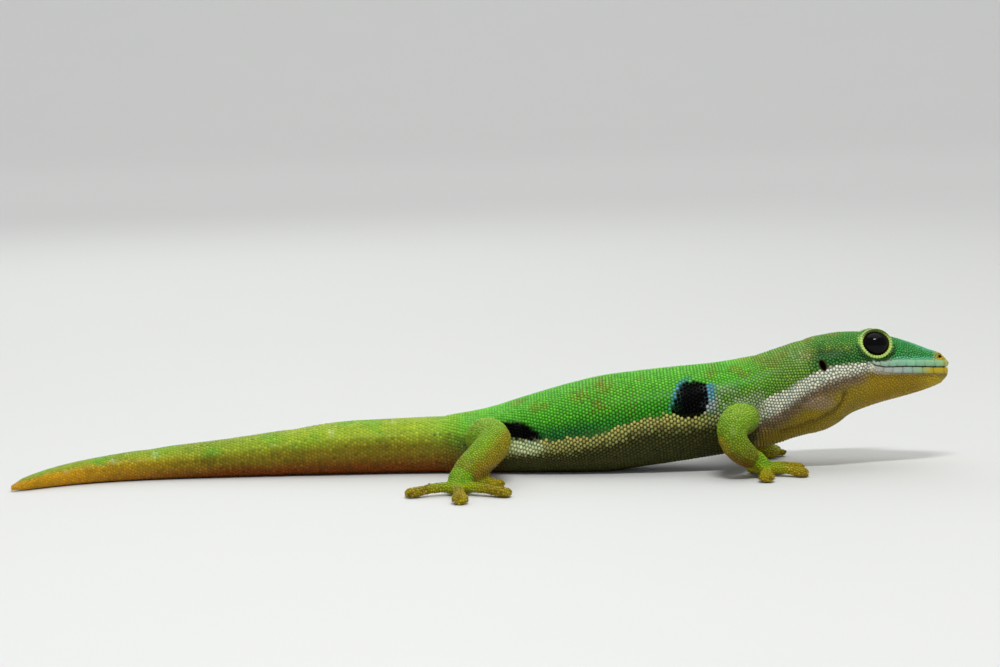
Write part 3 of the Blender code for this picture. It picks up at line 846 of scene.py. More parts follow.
def paintBody(flat, grain):
    x, y, z = flat.T
    yMiddle, zMiddle, halfWidth, halfHeight = alongSpine(x)
    h = (z - zMiddle) / halfHeight
    w = (y - yMiddle) / halfWidth
    warp = 0.35 * speckle(flat, 1.3, 1) + 0.22 * grain
    colours = layered(allOver("leaf", flat), [
        ("lime", ease(0.35, 0.95, h + 0.2 * warp) * 0.75),
        ("deep", fade(-0.15, 0.45, h)),
    ])
    low = fade(0.2, 2.4, z - edgeLine("creamEdge", x))
    colours = layered(colours, [
        ("emerald", low * fade(10, 22, x) * 0.85),
        ("deep", low * ease(10, 18, x) * (x < 30) * 0.6),
        ("lime", fade(-4, 9, x) * ease(-0.2, 0.7, h)),
        ("olive", ease(28, 35, x + warp) * 0.75),
        ("crown", ease(34, 42, x) * ease(0.1, 0.9, h)),
        ("orange", 0.35 * ease(0.1, 0.5, speckle(flat, 2.4, 3)) * ease(27, 33, x) * ease(0.2, 0.8, h)),
    ])
    for at, share, radius in rustSpots():
        apart = np.hypot(x - at, (w - share * 0.8) * halfWidth * 0.9)
        colours = blend(colours, "rust", 0.3 * fade(radius * 0.4, radius, apart + 0.5 * warp) * (h > -0.1))
    for at, height, radius in marks["smudges"]:
        apart = np.hypot(x - at, (z - height) * 1.6)
        near = fade(radius * 0.3, radius * 1.1, apart + 1.0 * warp + 0.35 * grain)
        colours = blend(colours, "rust", 0.33 * near)
    # the cream beads along the foot of the flank, and the belly
    edge = edgeLine("creamEdge", x)
    under = edge + 0.35 * warp + 0.22 * grain - z
    trunk = ease(-2.5, 0.5, x) * fade(31, 33, x)
    colours = layered(colours, [
        ("cream", trunk * ease(-0.08, 0.08, under)),
        # the dark belly: partly its own olive colour, partly painted shade under the body
        ("belly", trunk * ease(0.3, marks["creamDepth"], under + 0.25 * grain)),
    ])
    # the tail
    tail = fade(-7, 4, x + 3 * warp + 1.5 * h)
    tailTone = layered(allOver("tailTop", flat), [
        ("tailSide", fade(0.0, 0.75, h + 0.25 * warp)),
        ("tailUnder", fade(-0.85, 0.0, h + 0.3 * warp)),
        ("tailEnd", fade(-54, -28, x) * fade(0.3, 0.9, h)),
        ("umber", 0.28 * ease(0.15, 0.5, speckle(flat * [1, 1, 0.5], 1.7, 4)) * (h < 0.5)),
    ])
    tailTone = tailTone * (1 - 0.2 * fade(-30, -18, x) * ease(0.3, 0.8, h))[:, None]
    tailTone = layered(tailTone, [
        ("pale", 0.3 * ease(0.42, 0.6, speckle(flat, 1.9, 6)) * ease(-0.2, 0.6, h)),
        ("leaf", 0.4 * ease(0.1, 0.5, speckle(flat, 2.6, 7)) * ease(0.0, 0.6, h)),
    ])
    colours = colours * (1 - tail[:, None]) + tailTone * tail[:, None]
    # the groin: black in the fold above a pale patch
    near = fade(0.55, 1.25, blob(flat, marks["groinPale"]) + 0.25 * warp)
    colours = blend(colours, "pale", near * (np.abs(w) > 0.5))
    near = fade(0.8, 1.15, blob(flat, marks["groinBlack"]) + 0.2 * warp)
    colours = blend(colours, "black", near * (np.abs(w) > 0.5))
    # the white band from the mouth to the shoulder, with lilac under it, and the throat
    top, foot, low = (edgeLine(name, x) for name in ("whiteTop", "whiteFoot", "lilacFoot"))
    ahead = ease(30.6, 31.8, x + 0.5 * warp)
    throat = ahead * ease(-0.7, 0.9, low - z + 0.5 * warp)
    colours = layered(colours, [
        ("lilac", ahead * (z < top)),
        ("pink", 0.65 * ahead * ease(-1.7, 0.2, z - foot + 0.3 * warp) * (z < top)),
        ("throat", throat),
    ])
    # on the bulge above the throat fold, pink that is partly the skin's colour and partly a painted
    # highlight; a brown line of painted shade along the fold's crease
    patch = fade(0.4, 1.1, fromSpot(x, z, *marks["throatPinkAndHighlight"]) + 0.3 * warp)
    colours = layered(colours, [
        ("pink", 0.7 * patch),
        ("brown", 0.38 * inFold(flat, *folds[0][1:])),
    ])
    band = ease(-0.2, 0.2, top - z + 0.4 * warp) * ease(-0.8, 0.45, z - foot + 0.45 * warp)
    colours = blend(colours, "white", ahead * band)
    # the eye spot behind the shoulder, and its blue crescents
    spot = marks["ocellus"]
    ring = blob(flat, spot, 3.5) + 0.07 * warp
    flank = np.abs(w) > 0.4
    right, up = x - spot["middle"][0], z - spot["middle"][1]
    behind = ease(0.2, 1.0, 0.3 * up - 0.8 * right) * fade(1.15, 1.32, ring)
    front = ease(1.0, 1.7, right - 0.2 * up) * (up < 1.7)
    high = ease(-0.5, 0.6, up + 0.3 * grain)
    cloud = between(x, 25.6, 32.0, 0.8) * between(z, 5.9, 9.8, 0.7) * flank
    colours = layered(colours, [
        ("olive", 0.6 * cloud),
        ("grey", 0.42 * cloud * ease(-0.4, 0.4, speckle(flat, 0.9, 12) + 0.35 * grain)),
    ])
    near = front * fade(1.35, 1.75, ring) * flank * ease(-2.0, -0.9, up)
    colours = layered(colours, [
        ("lilacWhite", near * 0.8 * (1 - high)),
        ("teal", behind * ease(-1.6, -0.3, up) * flank * 0.75),
        ("blue", behind * ease(-0.4, 0.7, up) * fade(1.6, 2.0, up) * flank * 0.7),
        ("blue", front * fade(1.3, 1.6, ring) * high * flank * 0.8),
        ("blue", front * fade(1.2, 1.5, ring) * (1 - high) * (up > -1.2) * flank * 0.3),
    ])
    return blend(colours, "black", fade(0.95, 1.02, ring) * flank)


def paintHead(flat, points, colours, grain):
    x, y, z = flat.T
    head = ease(36.5, 38.5, x)
    mouth = mouthHeight(x)
    warp = 0.3 * speckle(flat, 1.1, 21) + 0.2 * grain
    top = edgeLine("whiteTop", x)
    temple = head * ease(-0.1, 0.3, z - top) * fade(12.9, 14.1, z + warp) * (x < 46)
    colours = blend(colours, "emerald", temple * 0.85)
    patch = fade(0.5, 1.3, fromSpot(x, z, *marks["napeGrey"]) + 0.4 * warp)
    colours = blend(colours, "grey", patch * np.clip(0.15 + 0.25 * grain, 0, 1))
    front = ease(45.5, 47.5, x)
    colours = blend(colours, "snout", front * ease(0.6, 1.0, z - mouth))
    ridge = ease(46.5, 50.5, x) * ease(-0.1, 0.5, z - 13.9 + 0.42 * (x - 48) + 0.3 * warp)
    colours = layered(colours, [
        ("turquoise", ridge * 0.8),
        ("turquoise", front * between(z - mouth, 0.7, 1.15, 0.15) * 0.6),
        ("brown", between(x, 46.5, 50.5, 0.4) * between(mouth - z, 1.25, 1.6, 0.08) * 0.6),
        ("yellow", ease(51.2, 52.6, x + 0.6 * warp) * ease(0, 0.4, z - mouth) * 0.85),
    ])
    below = ease(0.75, 1.3, mouth - z + 0.3 * warp) * ease(42.5, 44.5, x)
    colours = layered(colours, [
        ("chin", below),
        ("yellow", below * ease(49, 52, x) * 0.7),
    ])
    axis, out = fromEye(points)
    ringed = fade(1.98, 2.12, axis + 0.08 * warp)
    # painted shadow: dark greens round the lower part of each eye, under the bulge of its rim
    shade = fade(2.1, 2.8, axis) * fade(13.3, 14.2, z)
    colours = layered(colours, [
        ("emerald", shade * 0.85),
        ("underEyeShadow", fade(2.15, 2.45, axis) * fade(12.9, 14.0, z) * 0.8),
        ("ring", ringed * (out > -0.6) * ease(12.0, 14.5, z) * 0.7),
    ])
    patch = fade(0.5, 1.0, fromSpot(x, z, *marks["noseOrange"]))
    colours = layered(colours, [
        ("orange", patch * 0.6),
        ("rim", head * fade(1.0, 1.12, nearPit(flat, headShape["ear"], 0.14)) * 0.6),
        # painted shade: the inside of the ear pit and of the nostril is painted dark
        ("pit", head * (nearPit(flat, headShape["ear"], 0.03) < 1)),
        ("umber", head * (nearPit(flat, headShape["nostril"], 0.03) < 1)),
    ])
    return blend(colours, "slit", (x > 44.4) * fade(0.08, 0.16, np.abs(z - mouth)))


def paintLimbs(points, normals, parts, colours, grain):
    x, y, z = (points + pose["drawnAt"]).T
    side = np.sign(y)
    warp = 0.5 * speckle(points, 0.9, 31) + 0.4 * grain
    made = layered(allOver("limb", points), [
        ("limbLight", 0.55 * ease(4.5, 8.5, z + 2 * warp)),
        ("leaf", 0.4 * ease(0.0, 0.6, warp)),
        ("deep", 0.4 * ease(0.35, 0.6, speckle(points, 0.7, 33) + 0.2 * grain)),
    ])
    inward = ease(0.1, 0.8, -normals[:, 1] * side - 0.55 * normals[:, 2])
    arm = isPart(parts, "upper_arm", "forearm")
    leg = isPart(parts, "thigh", "shin")
    made = layered(made, [
        ("turquoise", 0.35 * arm * ease(7.6, 8.6, z + 0.5 * warp) * ease(28.5, 30.5, x)),
        ("orange", 0.5 * (arm | leg) * fade(1.5, 5.5, z + warp)),
        # painted shade: umber darkens the arms and legs low down near the floor, and the arms below their
        # tops
        ("umber", np.where(arm, 0.5, 0.4) * (arm | leg) * fade(1.2, 4.6, z + 0.6 * warp)),
        ("umber", 0.25 * arm * fade(5.0, 8.0, z + 0.6 * warp)),
    ])
    lowFront = leg * ease(0.1, 0.75, normals[:, 0] + 0.3 * warp) * (x > -0.5) * ease(6.5, 5.5, z)
    made = layered(made, [
        ("orange", 0.6 * lowFront),
        ("brown", 0.2 * lowFront),
        ("orange", 0.5 * arm * ease(0.2, 0.8, -normals[:, 0] + 0.2 * warp) * (z < 5)),
        ("tailUnder", 0.6 * ease(0.25, 0.9, -normals[:, 2])),
        ("inner", inward),
        ("shadow", 0.85 * arm * (y > 0) * ease(0.0, 0.5, -normals[:, 1])),
    ])
    foot = isPart(parts, "hand", "foot")
    dusky = np.where(isPart(parts, "hand"), 0.8, 0.55)
    made = blend(made, "toe", foot * ease(1.7, 0.9, z + 0.4 * warp) * dusky)
    tip = foot * ease(2.0, 4.4, reachOf(points, parts))
    made = layered(made, [
        ("orange", tip * 0.6),
        ("umber", tip * 0.5 * ease(0.1, 0.5, speckle(points, 0.45, 35) + 0.3 * grain)),
    ])
    limb = arm | leg | foot
    colours[limb] = made[limb]
    return colours


def reachOf(points, parts):
    # how far each point of a foot is from the foot's middle
    reach = np.zeros(len(points))
    for number, name in enumerate(fleshNodes):
        if name in footMiddles:
            here = parts == number
            reach[here] = np.linalg.norm(points[here][:, :2] - footMiddles[name][:2], axis=1)
    return reach


def footMiddle(name):
    # the middle of the palm, where the foot is thickest
    points = pointsOf(nodes[name])
    high = points[points[:, 2] > points[:, 2].max() * 0.6]
    return high.mean(0)


footMiddles = {name: footMiddle(name) for name in fleshNodes if name.endswith(("hand", "foot"))}


def paint(points, normals, parts, grain):
    flat = upright(points)
    colours = paintBody(flat, grain)
    colours = paintHead(flat, points, colours, grain)
    colours = paintLimbs(points, normals, parts, colours, grain)
    low = flat[:, 2] < edgeLine("lilacFoot", flat[:, 0])
    even = isPart(parts, "jaw") | (isPart(parts, "head", "neck") & low)
    grain = np.where(even, 0.35, 1.0) * grain
    mottle = (1 + 0.10 * speckle(points, 3.0, 41))[:, None] + grain[:, None] * [0.26, 0.16, 0.10]
    return np.clip(colours * mottle, 0.001, 0.9)


def skinFinish(name, roughness=(0.27, 0.42), grainSize=0.09, grainDepth=0.012, coat=0.02):
    finish, tree, shader = newFinish(name, {
        "Coat Weight": coat, "Coat Roughness": 0.25, "Subsurface Weight": 0.06,
        "Subsurface Radius": (0.6, 0.4, 0.15), "Subsurface Scale": 0.0004,
    })
    tint, place = addTint(tree), addNode(tree, "TexCoord")
    cloud = addNode(tree, "TexNoise", {"Scale": 1 / (0.5 * mm), "Detail": 3})
    shade = addNode(tree, "MapRange", {"To Min": 0.86, "To Max": 1.12})
    mix = addNode(tree, "VectorMath")
    mix.operation = "SCALE"
    grain = addNode(tree, "TexNoise", {"Scale": 1 / (grainSize * mm)})
    gloss = addNode(tree, "MapRange", {"To Min": roughness[0], "To Max": roughness[1]})
    bump = addNode(tree, "Bump", {"Strength": 0.5, "Distance": grainDepth * mm})
    light = addNode(tree, "RGBToBW")  # dark scales are duller than bright ones
    shine = addNode(tree, "MapRange", {"From Max": 0.15, "To Min": 0.03, "To Max": 0.20})
    joinUp(
        tree, (place, "Object", cloud, "Vector"), (place, "Object", grain, "Vector"),
        (cloud, "Fac", shade, "Value"), (tint, "Color", mix, 0), (shade, "Result", mix, "Scale"),
        (mix, "Vector", shader, "Base Color"), (tint, "Color", light, "Color"),
        (light, "Val", shine, "Value"), (shine, "Result", shader, "Specular IOR Level"),
        (grain, "Fac", gloss, "Value"), (gloss, "Result", shader, "Roughness"),
        (grain, "Fac", bump, "Height"), (bump, "Normal", shader, "Normal"),
    )
    return finish


def tintPoints(obj, colours):
    tint = obj.data.color_attributes.new("tint", "FLOAT_COLOR", "POINT")
    full = np.concatenate([colours, np.ones((len(colours), 1))], axis=1)
    tint.data.foreach_set("color", full.astype(np.float32).ravel())


# The unwrap of the skin's own shape that every piece's baked colour is laid on

unwrap = {"faces": 7000, "angle": 60, "margin": 0.004, "patch": 0.003, "layer": "OFBake"}


def unwrapSheet():
    sheet = skin.copy()
    sheet.data = skin.data.copy()
    bpy.context.scene.collection.objects.link(sheet)
    thin = sheet.modifiers.new("thin", "DECIMATE")
    thin.ratio = unwrap["faces"] / len(sheet.data.polygons)
    sheet.modifiers.new("split", "TRIANGULATE")
    applyAll(sheet)
    project = {"angle_limit": math.radians(unwrap["angle"]), "island_margin": unwrap["margin"]}
    editAll(sheet, (bpy.ops.uv.smart_project, project))
    points, tree = pointsOf(sheet), treeOf(sheet)
    corners = np.array([tuple(face.vertices) for face in sheet.data.polygons])
    places = readAll(sheet.data.uv_layers.active.data, "uv", 2).reshape(-1, 3, 2).astype(float)
    bpy.data.objects.remove(sheet)
    return tree, points[corners], places


sheetTree, sheetCorners, sheetPlaces = unwrapSheet()


def facesOnSheet(points):
    return np.array([sheetTree.find_nearest(Vector(p))[2] for p in points])


def placesOnSheet(points, faces):
    # where points fall on the unwrap, read in the plane of the face that each belongs to
    a, b, c = (sheetCorners[faces][:, corner] for corner in range(3))
    v0, v1, v2 = b - a, c - a, points - a
    d00, d01, d11 = (v0 * v0).sum(1), (v0 * v1).sum(1), (v1 * v1).sum(1)
    d20, d21 = (v2 * v0).sum(1), (v2 * v1).sum(1)
    scale = np.maximum(d00 * d11 - d01 * d01, 1e-12)
    v = (d11 * d20 - d01 * d21) / scale
    w = (d00 * d21 - d01 * d20) / scale
    uv = sheetPlaces[faces]
    return uv[:, 0] * (1 - v - w)[:, None] + uv[:, 1] * v[:, None] + uv[:, 2] * w[:, None]


def layUnwrap(obj):
    mesh = obj.data
    points = pointsOf(obj)
    starts = readAll(mesh.polygons, "loop_start", kind=np.int32)
    totals = readAll(mesh.polygons, "loop_total", kind=np.int32)
    corners = readAll(mesh.loops, "vertex_index", kind=np.int32)
    middles = np.add.reduceat(points[corners], starts) / totals[:, None]
    faces = np.repeat(facesOnSheet(middles), totals)
    layer = mesh.uv_layers.new(name=unwrap["layer"])
    layer.data.foreach_set("uv", placesOnSheet(points[corners], faces).astype(np.float32).ravel())


# One scale is a closed domed plate of eight sides, and its outline leaves a groove to its neighbours

scaleShape = {
    "sides": 8,
    "full": [(1.0, -0.30), (0.94, 0.30), (0.62, 0.84)],  # share of its radius, share of its height
    "low": [(1.0, -0.30), (0.84, 0.62)],
    "apex": 1.0,
    "fill": 0.92,
    "shadeAndHighlight": (0.16, 0.56, 1.0, 1.18),  # painted shade at its foot rising to a painted highlight at its top, from its foot to its top
    "grooveShade": 0.68,  # how much painted shade darkens the skin between them
    "neighbours": 10, "widest": 0.70,  # that limit its outline, and its largest radius beside its width
}


def paintedGrooveShade(flat, parts):
    # how dark the painted shade between scales is: least on the tail and the throat, where scales lie close
    x, _, z = flat.T
    _, zMiddle, _, halfHeight = alongSpine(x)
    dark = 0.22 + 0.78 * ease(-4, 12, x) * (1 - 0.4 * ease(0.2, 0.9, (z - zMiddle) / halfHeight))
    under = edgeLine("creamEdge", x) - z
    dark = dark - 0.3 * between(x, 2, 31, 1) * ease(2.0, 3.0, under)
    throat = ease(0, 1.5, edgeLine("whiteFoot", x) - z) * ease(31, 33, x)
    dark = dark * (1 - throat) + 0.16 * throat
    dark = np.where((x > 44) & (np.abs(z - mouthHeight(x)) < 0.95), 0.25, dark)
    return np.where(onLimbs(parts), 0.6, dark)


def outlines(points, normals, alongs, sizes):
    # for each scale, the distance to half way to its neighbours in each of its directions
    tree = pointTree(points)
    many = scaleShape["neighbours"] + 1  # the nearest that the tree finds is the scale itself
    near = np.array([[found[1] for found in tree.find_n(point, many)] for point in points])[:, 1:]
    acrosses = np.cross(normals, alongs)
    rel = points[near] - points[:, None]
    facing = (normals[near] * normals[:, None]).sum(2)
    u, v = (rel * alongs[:, None]).sum(2), (rel * acrosses[:, None]).sum(2)
    apart = np.where(facing > 0.25, np.hypot(u, v), 99)
    share = sizes[:, None] / (sizes[:, None] + sizes[near])
    angles = 2 * math.pi * (np.arange(scaleShape["sides"]) + 0.5) / scaleShape["sides"]
    towards = np.arctan2(v, u)
    radii = []
    for angle in angles:
        cosine = np.cos(angle - towards)
        limit = np.where(cosine > 0.2, apart * share / np.maximum(cosine, 0.2), 99)
        radii.append(np.minimum(limit.min(1), sizes * scaleShape["widest"]))
    radii = np.array(radii).T
    mean = radii.mean(1, keepdims=True)
    rounded = 0.75 * radii + 0.25 * np.minimum(radii, mean)
    return np.maximum(rounded * scaleShape["fill"], 0.05), angles, acrosses


def growScales(name, picked, shape, finish):
    points, normals, alongs, acrosses, radii, heights, leans, colours, dark = (
        row[picked] for row in (
            scalePoints, scaleNormals, scaleAlongs, scaleAcross, scaleRadii, scaleHeights, scaleLeans,
            scaleColours, scaleGrooveShade,
        )
    )
    count, sides = len(points), scaleShape["sides"]
    cosine, sine = np.cos(scaleAngles), np.sin(scaleAngles)
    rings = []
    for share, level in scaleShape[shape]:
        flat = (
            alongs[:, None] * (radii * cosine * share)[:, :, None]
            + acrosses[:, None] * (radii * sine * share)[:, :, None]
        )
        lift = heights[:, None] * level * (1 - leans[:, None] * cosine * (level > 0))
        rings.append(points[:, None] + flat + normals[:, None] * lift[:, :, None])
    apex = points + normals * (heights * scaleShape["apex"] * (1 + 0.2 * leans))[:, None]
    apex = apex - alongs * (leans * radii.mean(1) * 0.35)[:, None]
    verts = np.concatenate([*rings, apex[:, None]], axis=1)
    verts[:, :, 2] = np.maximum(verts[:, :, 2], 0.0)
    each = verts.shape[1]
    ring = np.arange(sides)
    after = (ring + 1) % sides
    quads = []
    for level in range(len(rings) - 1):
        low, high = level * sides, (level + 1) * sides
        quads += [np.stack([low + ring, low + after, high + after, high + ring], axis=1)]
    quads = np.concatenate(quads)
    top = (len(rings) - 1) * sides
    tris = np.stack([top + ring, top + after, np.full(sides, each - 1)], axis=1)
    foot = ring[::-1]
    loops = np.concatenate([quads.ravel(), tris.ravel(), foot])
    starts = np.concatenate([
        np.arange(len(quads)) * 4, len(quads) * 4 + np.arange(sides) * 3, [len(quads) * 4 + sides * 3]
    ])
    bases = np.arange(count)
    mesh = bpy.data.meshes.new(name)
    mesh.vertices.add(count * each)
    mesh.vertices.foreach_set("co", (verts * mm).astype(np.float32).ravel())
    allLoops = (bases[:, None] * each + loops).ravel()
    mesh.loops.add(len(allLoops))
    mesh.loops.foreach_set("vertex_index", allLoops.astype(np.int32))
    mesh.polygons.add(count * len(starts))
    mesh.polygons.foreach_set("loop_start", (bases[:, None] * len(loops) + starts).ravel().astype(np.int32))
    mesh.update(calc_edges=True)
    mesh.shade_smooth()
    shares = np.append(np.repeat(scaleShape["shadeAndHighlight"][:len(rings)], sides), scaleShape["shadeAndHighlight"][-1])
    made = bpy.data.objects.new(name, mesh)
    bpy.context.scene.collection.objects.link(made)
    # painted shade at each scale's foot and a painted highlight at its top, weaker where the painted shade
    # between scales is lighter
    shares = 1 - dark[:, None] * (1 - shares)
    tintPoints(made, np.clip((colours[:, None] * shares[:, :, None]).reshape(-1, 3), 0, 1))
    spots = placesOnSheet(points, facesOnSheet(points))
    reach = unwrap["patch"] / 2
    turns = np.stack([cosine, sine], axis=1) * reach
    local = np.concatenate([turns * share for share, _ in scaleShape[shape]] + [[[0, 0]]])
    layer = mesh.uv_layers.new(name=unwrap["layer"])
    layer.data.foreach_set("uv", (spots[:, None] + local[loops][None]).astype(np.float32).ravel())
    mesh.materials.append(finish)
    print(name, count)
    return made


scaleHeight = {  # as a share of a scale's width
    "plain": 0.30, "beads": 0.42, "belly": 0.20, "tail": 0.11, "head": 0.36, "limbs": 0.32, "band": 0.34,
    "lean": 0.06, "bodyLean": 0.12, "lowLean": 0.35,  # how far the back edge is lifted
}


def scaleCharacter():
    # how tall each scale is, and how far its back edge is lifted
    flat = upright(scalePoints)
    x = flat[:, 0]
    body = isPart(scaleParts, "neck", "torso", "tail")
    tail = isPart(scaleParts, "tail")
    under = edgeLine("creamEdge", x) - flat[:, 2]
    torso = isPart(scaleParts, "torso") & (x > 2)
    belly = torso & (under > 2.2)
    top, foot = edgeLine("whiteTop", x), edgeLine("whiteFoot", x)
    band = (x > 31.4) & (x < 45) & (flat[:, 2] < top) & (flat[:, 2] > foot)
    heights = np.full(len(x), scaleHeight["plain"])
    for area, name in (
        (torso & (under > -0.1) & (under < 1.8), "beads"), (belly, "belly"), (tail, "tail"),
        (isPart(scaleParts, "head"), "head"), (onLimbs(scaleParts), "limbs"),
        (band & ~isPart(scaleParts, "arm"), "band"),
    ):
        heights[area] = scaleHeight[name]
    leans = np.where(body, scaleHeight["bodyLean"], scaleHeight["lean"])
    leans[tail | belly] = scaleHeight["lowLean"]
    return heights * scaleSizes, leans


def directions():
    # which way forward is for each scale: along the body, or up the limb towards it
    forward = np.tile([1.0, 0.0, 0.0], (len(scalePoints), 1))
    limbs = onLimbs(scaleParts)
    front = isPart(scaleParts, "arm", "hand")
    roots = np.where(front[:, None], [30.0, -1.0, 6.5], [1.0, 0.0, 4.5])
    forward[limbs] = (roots - scalePoints)[limbs]
    flat = forward - scaleNormals * (forward * scaleNormals).sum(1, keepdims=True)
    return unit(flat)


grainDraw = np.random.default_rng(3)
scaleAlongs = directions()
scaleRadii, scaleAngles, scaleAcross = outlines(scalePoints, scaleNormals, scaleAlongs, scaleSizes)
scaleHeights, scaleLeans = scaleCharacter()
scaleGrooveShade = paintedGrooveShade(upright(scalePoints), scaleParts)
scaleGrain = np.clip(grainDraw.normal(0, 0.6, len(scalePoints)), -1.5, 1.5)
scaleColours = paint(scalePoints, scaleNormals, scaleParts, scaleGrain)
skinPlaces = upright(skinPoints)
# the skin between the scales is darkened with painted shade
skinShades = 1 - scaleShape["grooveShade"] * paintedGrooveShade(skinPlaces, partsOfSkin)
skinTints = paint(skinPoints, skinNormals, partsOfSkin, np.zeros(len(skinPoints)))
rusty = between(skinPlaces[:, 0], 9, 20, 3) * between(skinPlaces[:, 2], 6.0, 10.2, 1.2)
rusty = rusty * isPart(partsOfSkin, "torso") * ease(-0.3, 0.4, speckle(skinPoints, 1.6, 51))
skinTints = blend(skinTints, "rust", 0.6 * rusty)
tintPoints(skin, skinTints * skinShades[:, None])
skin.data.materials.clear()
skin.data.materials.append(skinFinish("skinInGrooves", coat=0.0))
layUnwrap(skin)
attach(skin, "root")
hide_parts(*fleshNodes)

coats = {  # the parts that each is on, from where to where along them, the scales' shape and the slot
    "scalesSnout": (("head",), 44, 99, "full", "green_skin"),
    "scalesCrown": (("head",), -99, 44, "full", "green_skin"),
    "scalesJaw": (("jaw",), -99, 99, "low", "yellow_skin"),
    "scalesNeck": (("neck",), -99, 99, "full", "green_skin"),
    "scalesShoulders": (("torso",), 19, 99, "full", "green_skin"),
    "scalesFlanks": (("torso",), 8, 19, "full", "green_skin"),
    "scalesHips": (("torso",), -99, 8, "full", "green_skin"),
    "scalesTail": (("tail",), -99, 99, "low", "tail_skin"),
    "scalesArms": (("arm",), -99, 99, "low", "limb_skin"),
    "scalesLegs": (("thigh", "shin"), -99, 99, "low", "limb_skin"),
    "scalesFeet": (("hand", "foot"), -99, 99, "low", "toe_skin"),
}


def growCoats():
    finish = skinFinish("scales")
    x = upright(scalePoints)[:, 0]
    for name, (words, behind, ahead, shape, slot) in coats.items():
        piece = growScales(name, isPart(scaleParts, *words) & (x >= behind) & (x < ahead), shape, finish)
        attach(piece, "root")


growCoats()
print("scales grown")


# The eyes: a dark ball under a clear wet surface

eyeShape = {
    "radius": 1.66, "pupil": 0.80, "irisTone": (0.012, 0.005, 0.004), "pupilTone": (0.001, 0.001, 0.0015),
}
wetSurface = {
    "Roughness": 0.4, "Specular IOR Level": 0.0, "Coat Weight": 0.5, "Coat IOR": 1.33,
    "Coat Roughness": 0.015,
}


def eyeFinish():
    finish, tree, shader = newFinish("wetEye", wetSurface)
    joinUp(tree, (addTint(tree), "Color", shader, "Base Color"))
    return finish


def buildEye(side, finish):
    name = "left_eye" if side > 0 else "right_eye"
    middle, outward, upward, forward = eyeFrame(side)
    radius = eyeShape["radius"]
    bpy.ops.mesh.primitive_uv_sphere_add(segments=64, ring_count=40, radius=radius * mm)
    eye = bpy.context.object
    eye.name = "leftEye" if side > 0 else "rightEye"
    turn = Matrix((upward * headShape["eyeFlatten"], forward, outward)).transposed().to_4x4()
    eye.matrix_world = Matrix.Translation(middle * mm) @ turn
    settle(eye)
    bpy.ops.object.shade_smooth()
    faceOutwards(eye)
    axis, _ = fromEye(pointsOf(eye))
    iris = ease(eyeShape["pupil"] - 0.02, eyeShape["pupil"] + 0.03, axis / radius)[:, None]
    tintPoints(eye, np.array(eyeShape["pupilTone"]) * (1 - iris) + np.array(eyeShape["irisTone"]) * iris)
    eye.data.materials.append(finish)
    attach(eye, "root")
    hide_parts(name)


wetEye = eyeFinish()
for side in (-1, 1):
    buildEye(side, wetEye)
print("eyes set")


# The lips: a row of smooth plates along each edge of the mouth, round the front of the snout

lips = {
    "gap": 0.012, "thick": 0.05, "sink": 0.07, "across": 9, "upward": 6,
    "upper": {
        "count": 9, "start": 0.55, "end": 10.0, "sign": 1,
        "heights": [(0, 0.82), (6.6, 0.78), (10, 0.45)],
    },
    "lower": {
        "count": 8, "start": 0.50, "end": 9.7, "sign": -1,
        "heights": [(0, 0.74), (6.4, 0.76), (9.7, 0.55)],
    },
}
lipTones = {  # each at how far it is from the front of the snout
    "upper": [
        (0, (0.50, 0.38, 0.01)), (1.0, (0.50, 0.44, 0.03)), (2.4, (0.28, 0.52, 0.26)),
        (6, (0.24, 0.52, 0.33)), (8, (0.28, 0.48, 0.34)), (10, (0.38, 0.45, 0.35)),
    ],
    "lower": [
        (0, (0.52, 0.34, 0.01)), (3.2, (0.46, 0.36, 0.02)), (4.6, (0.30, 0.46, 0.24)),
        (5.6, (0.31, 0.45, 0.35)), (6.5, (0.34, 0.41, 0.35)), (10, (0.39, 0.39, 0.33)),
    ],
}


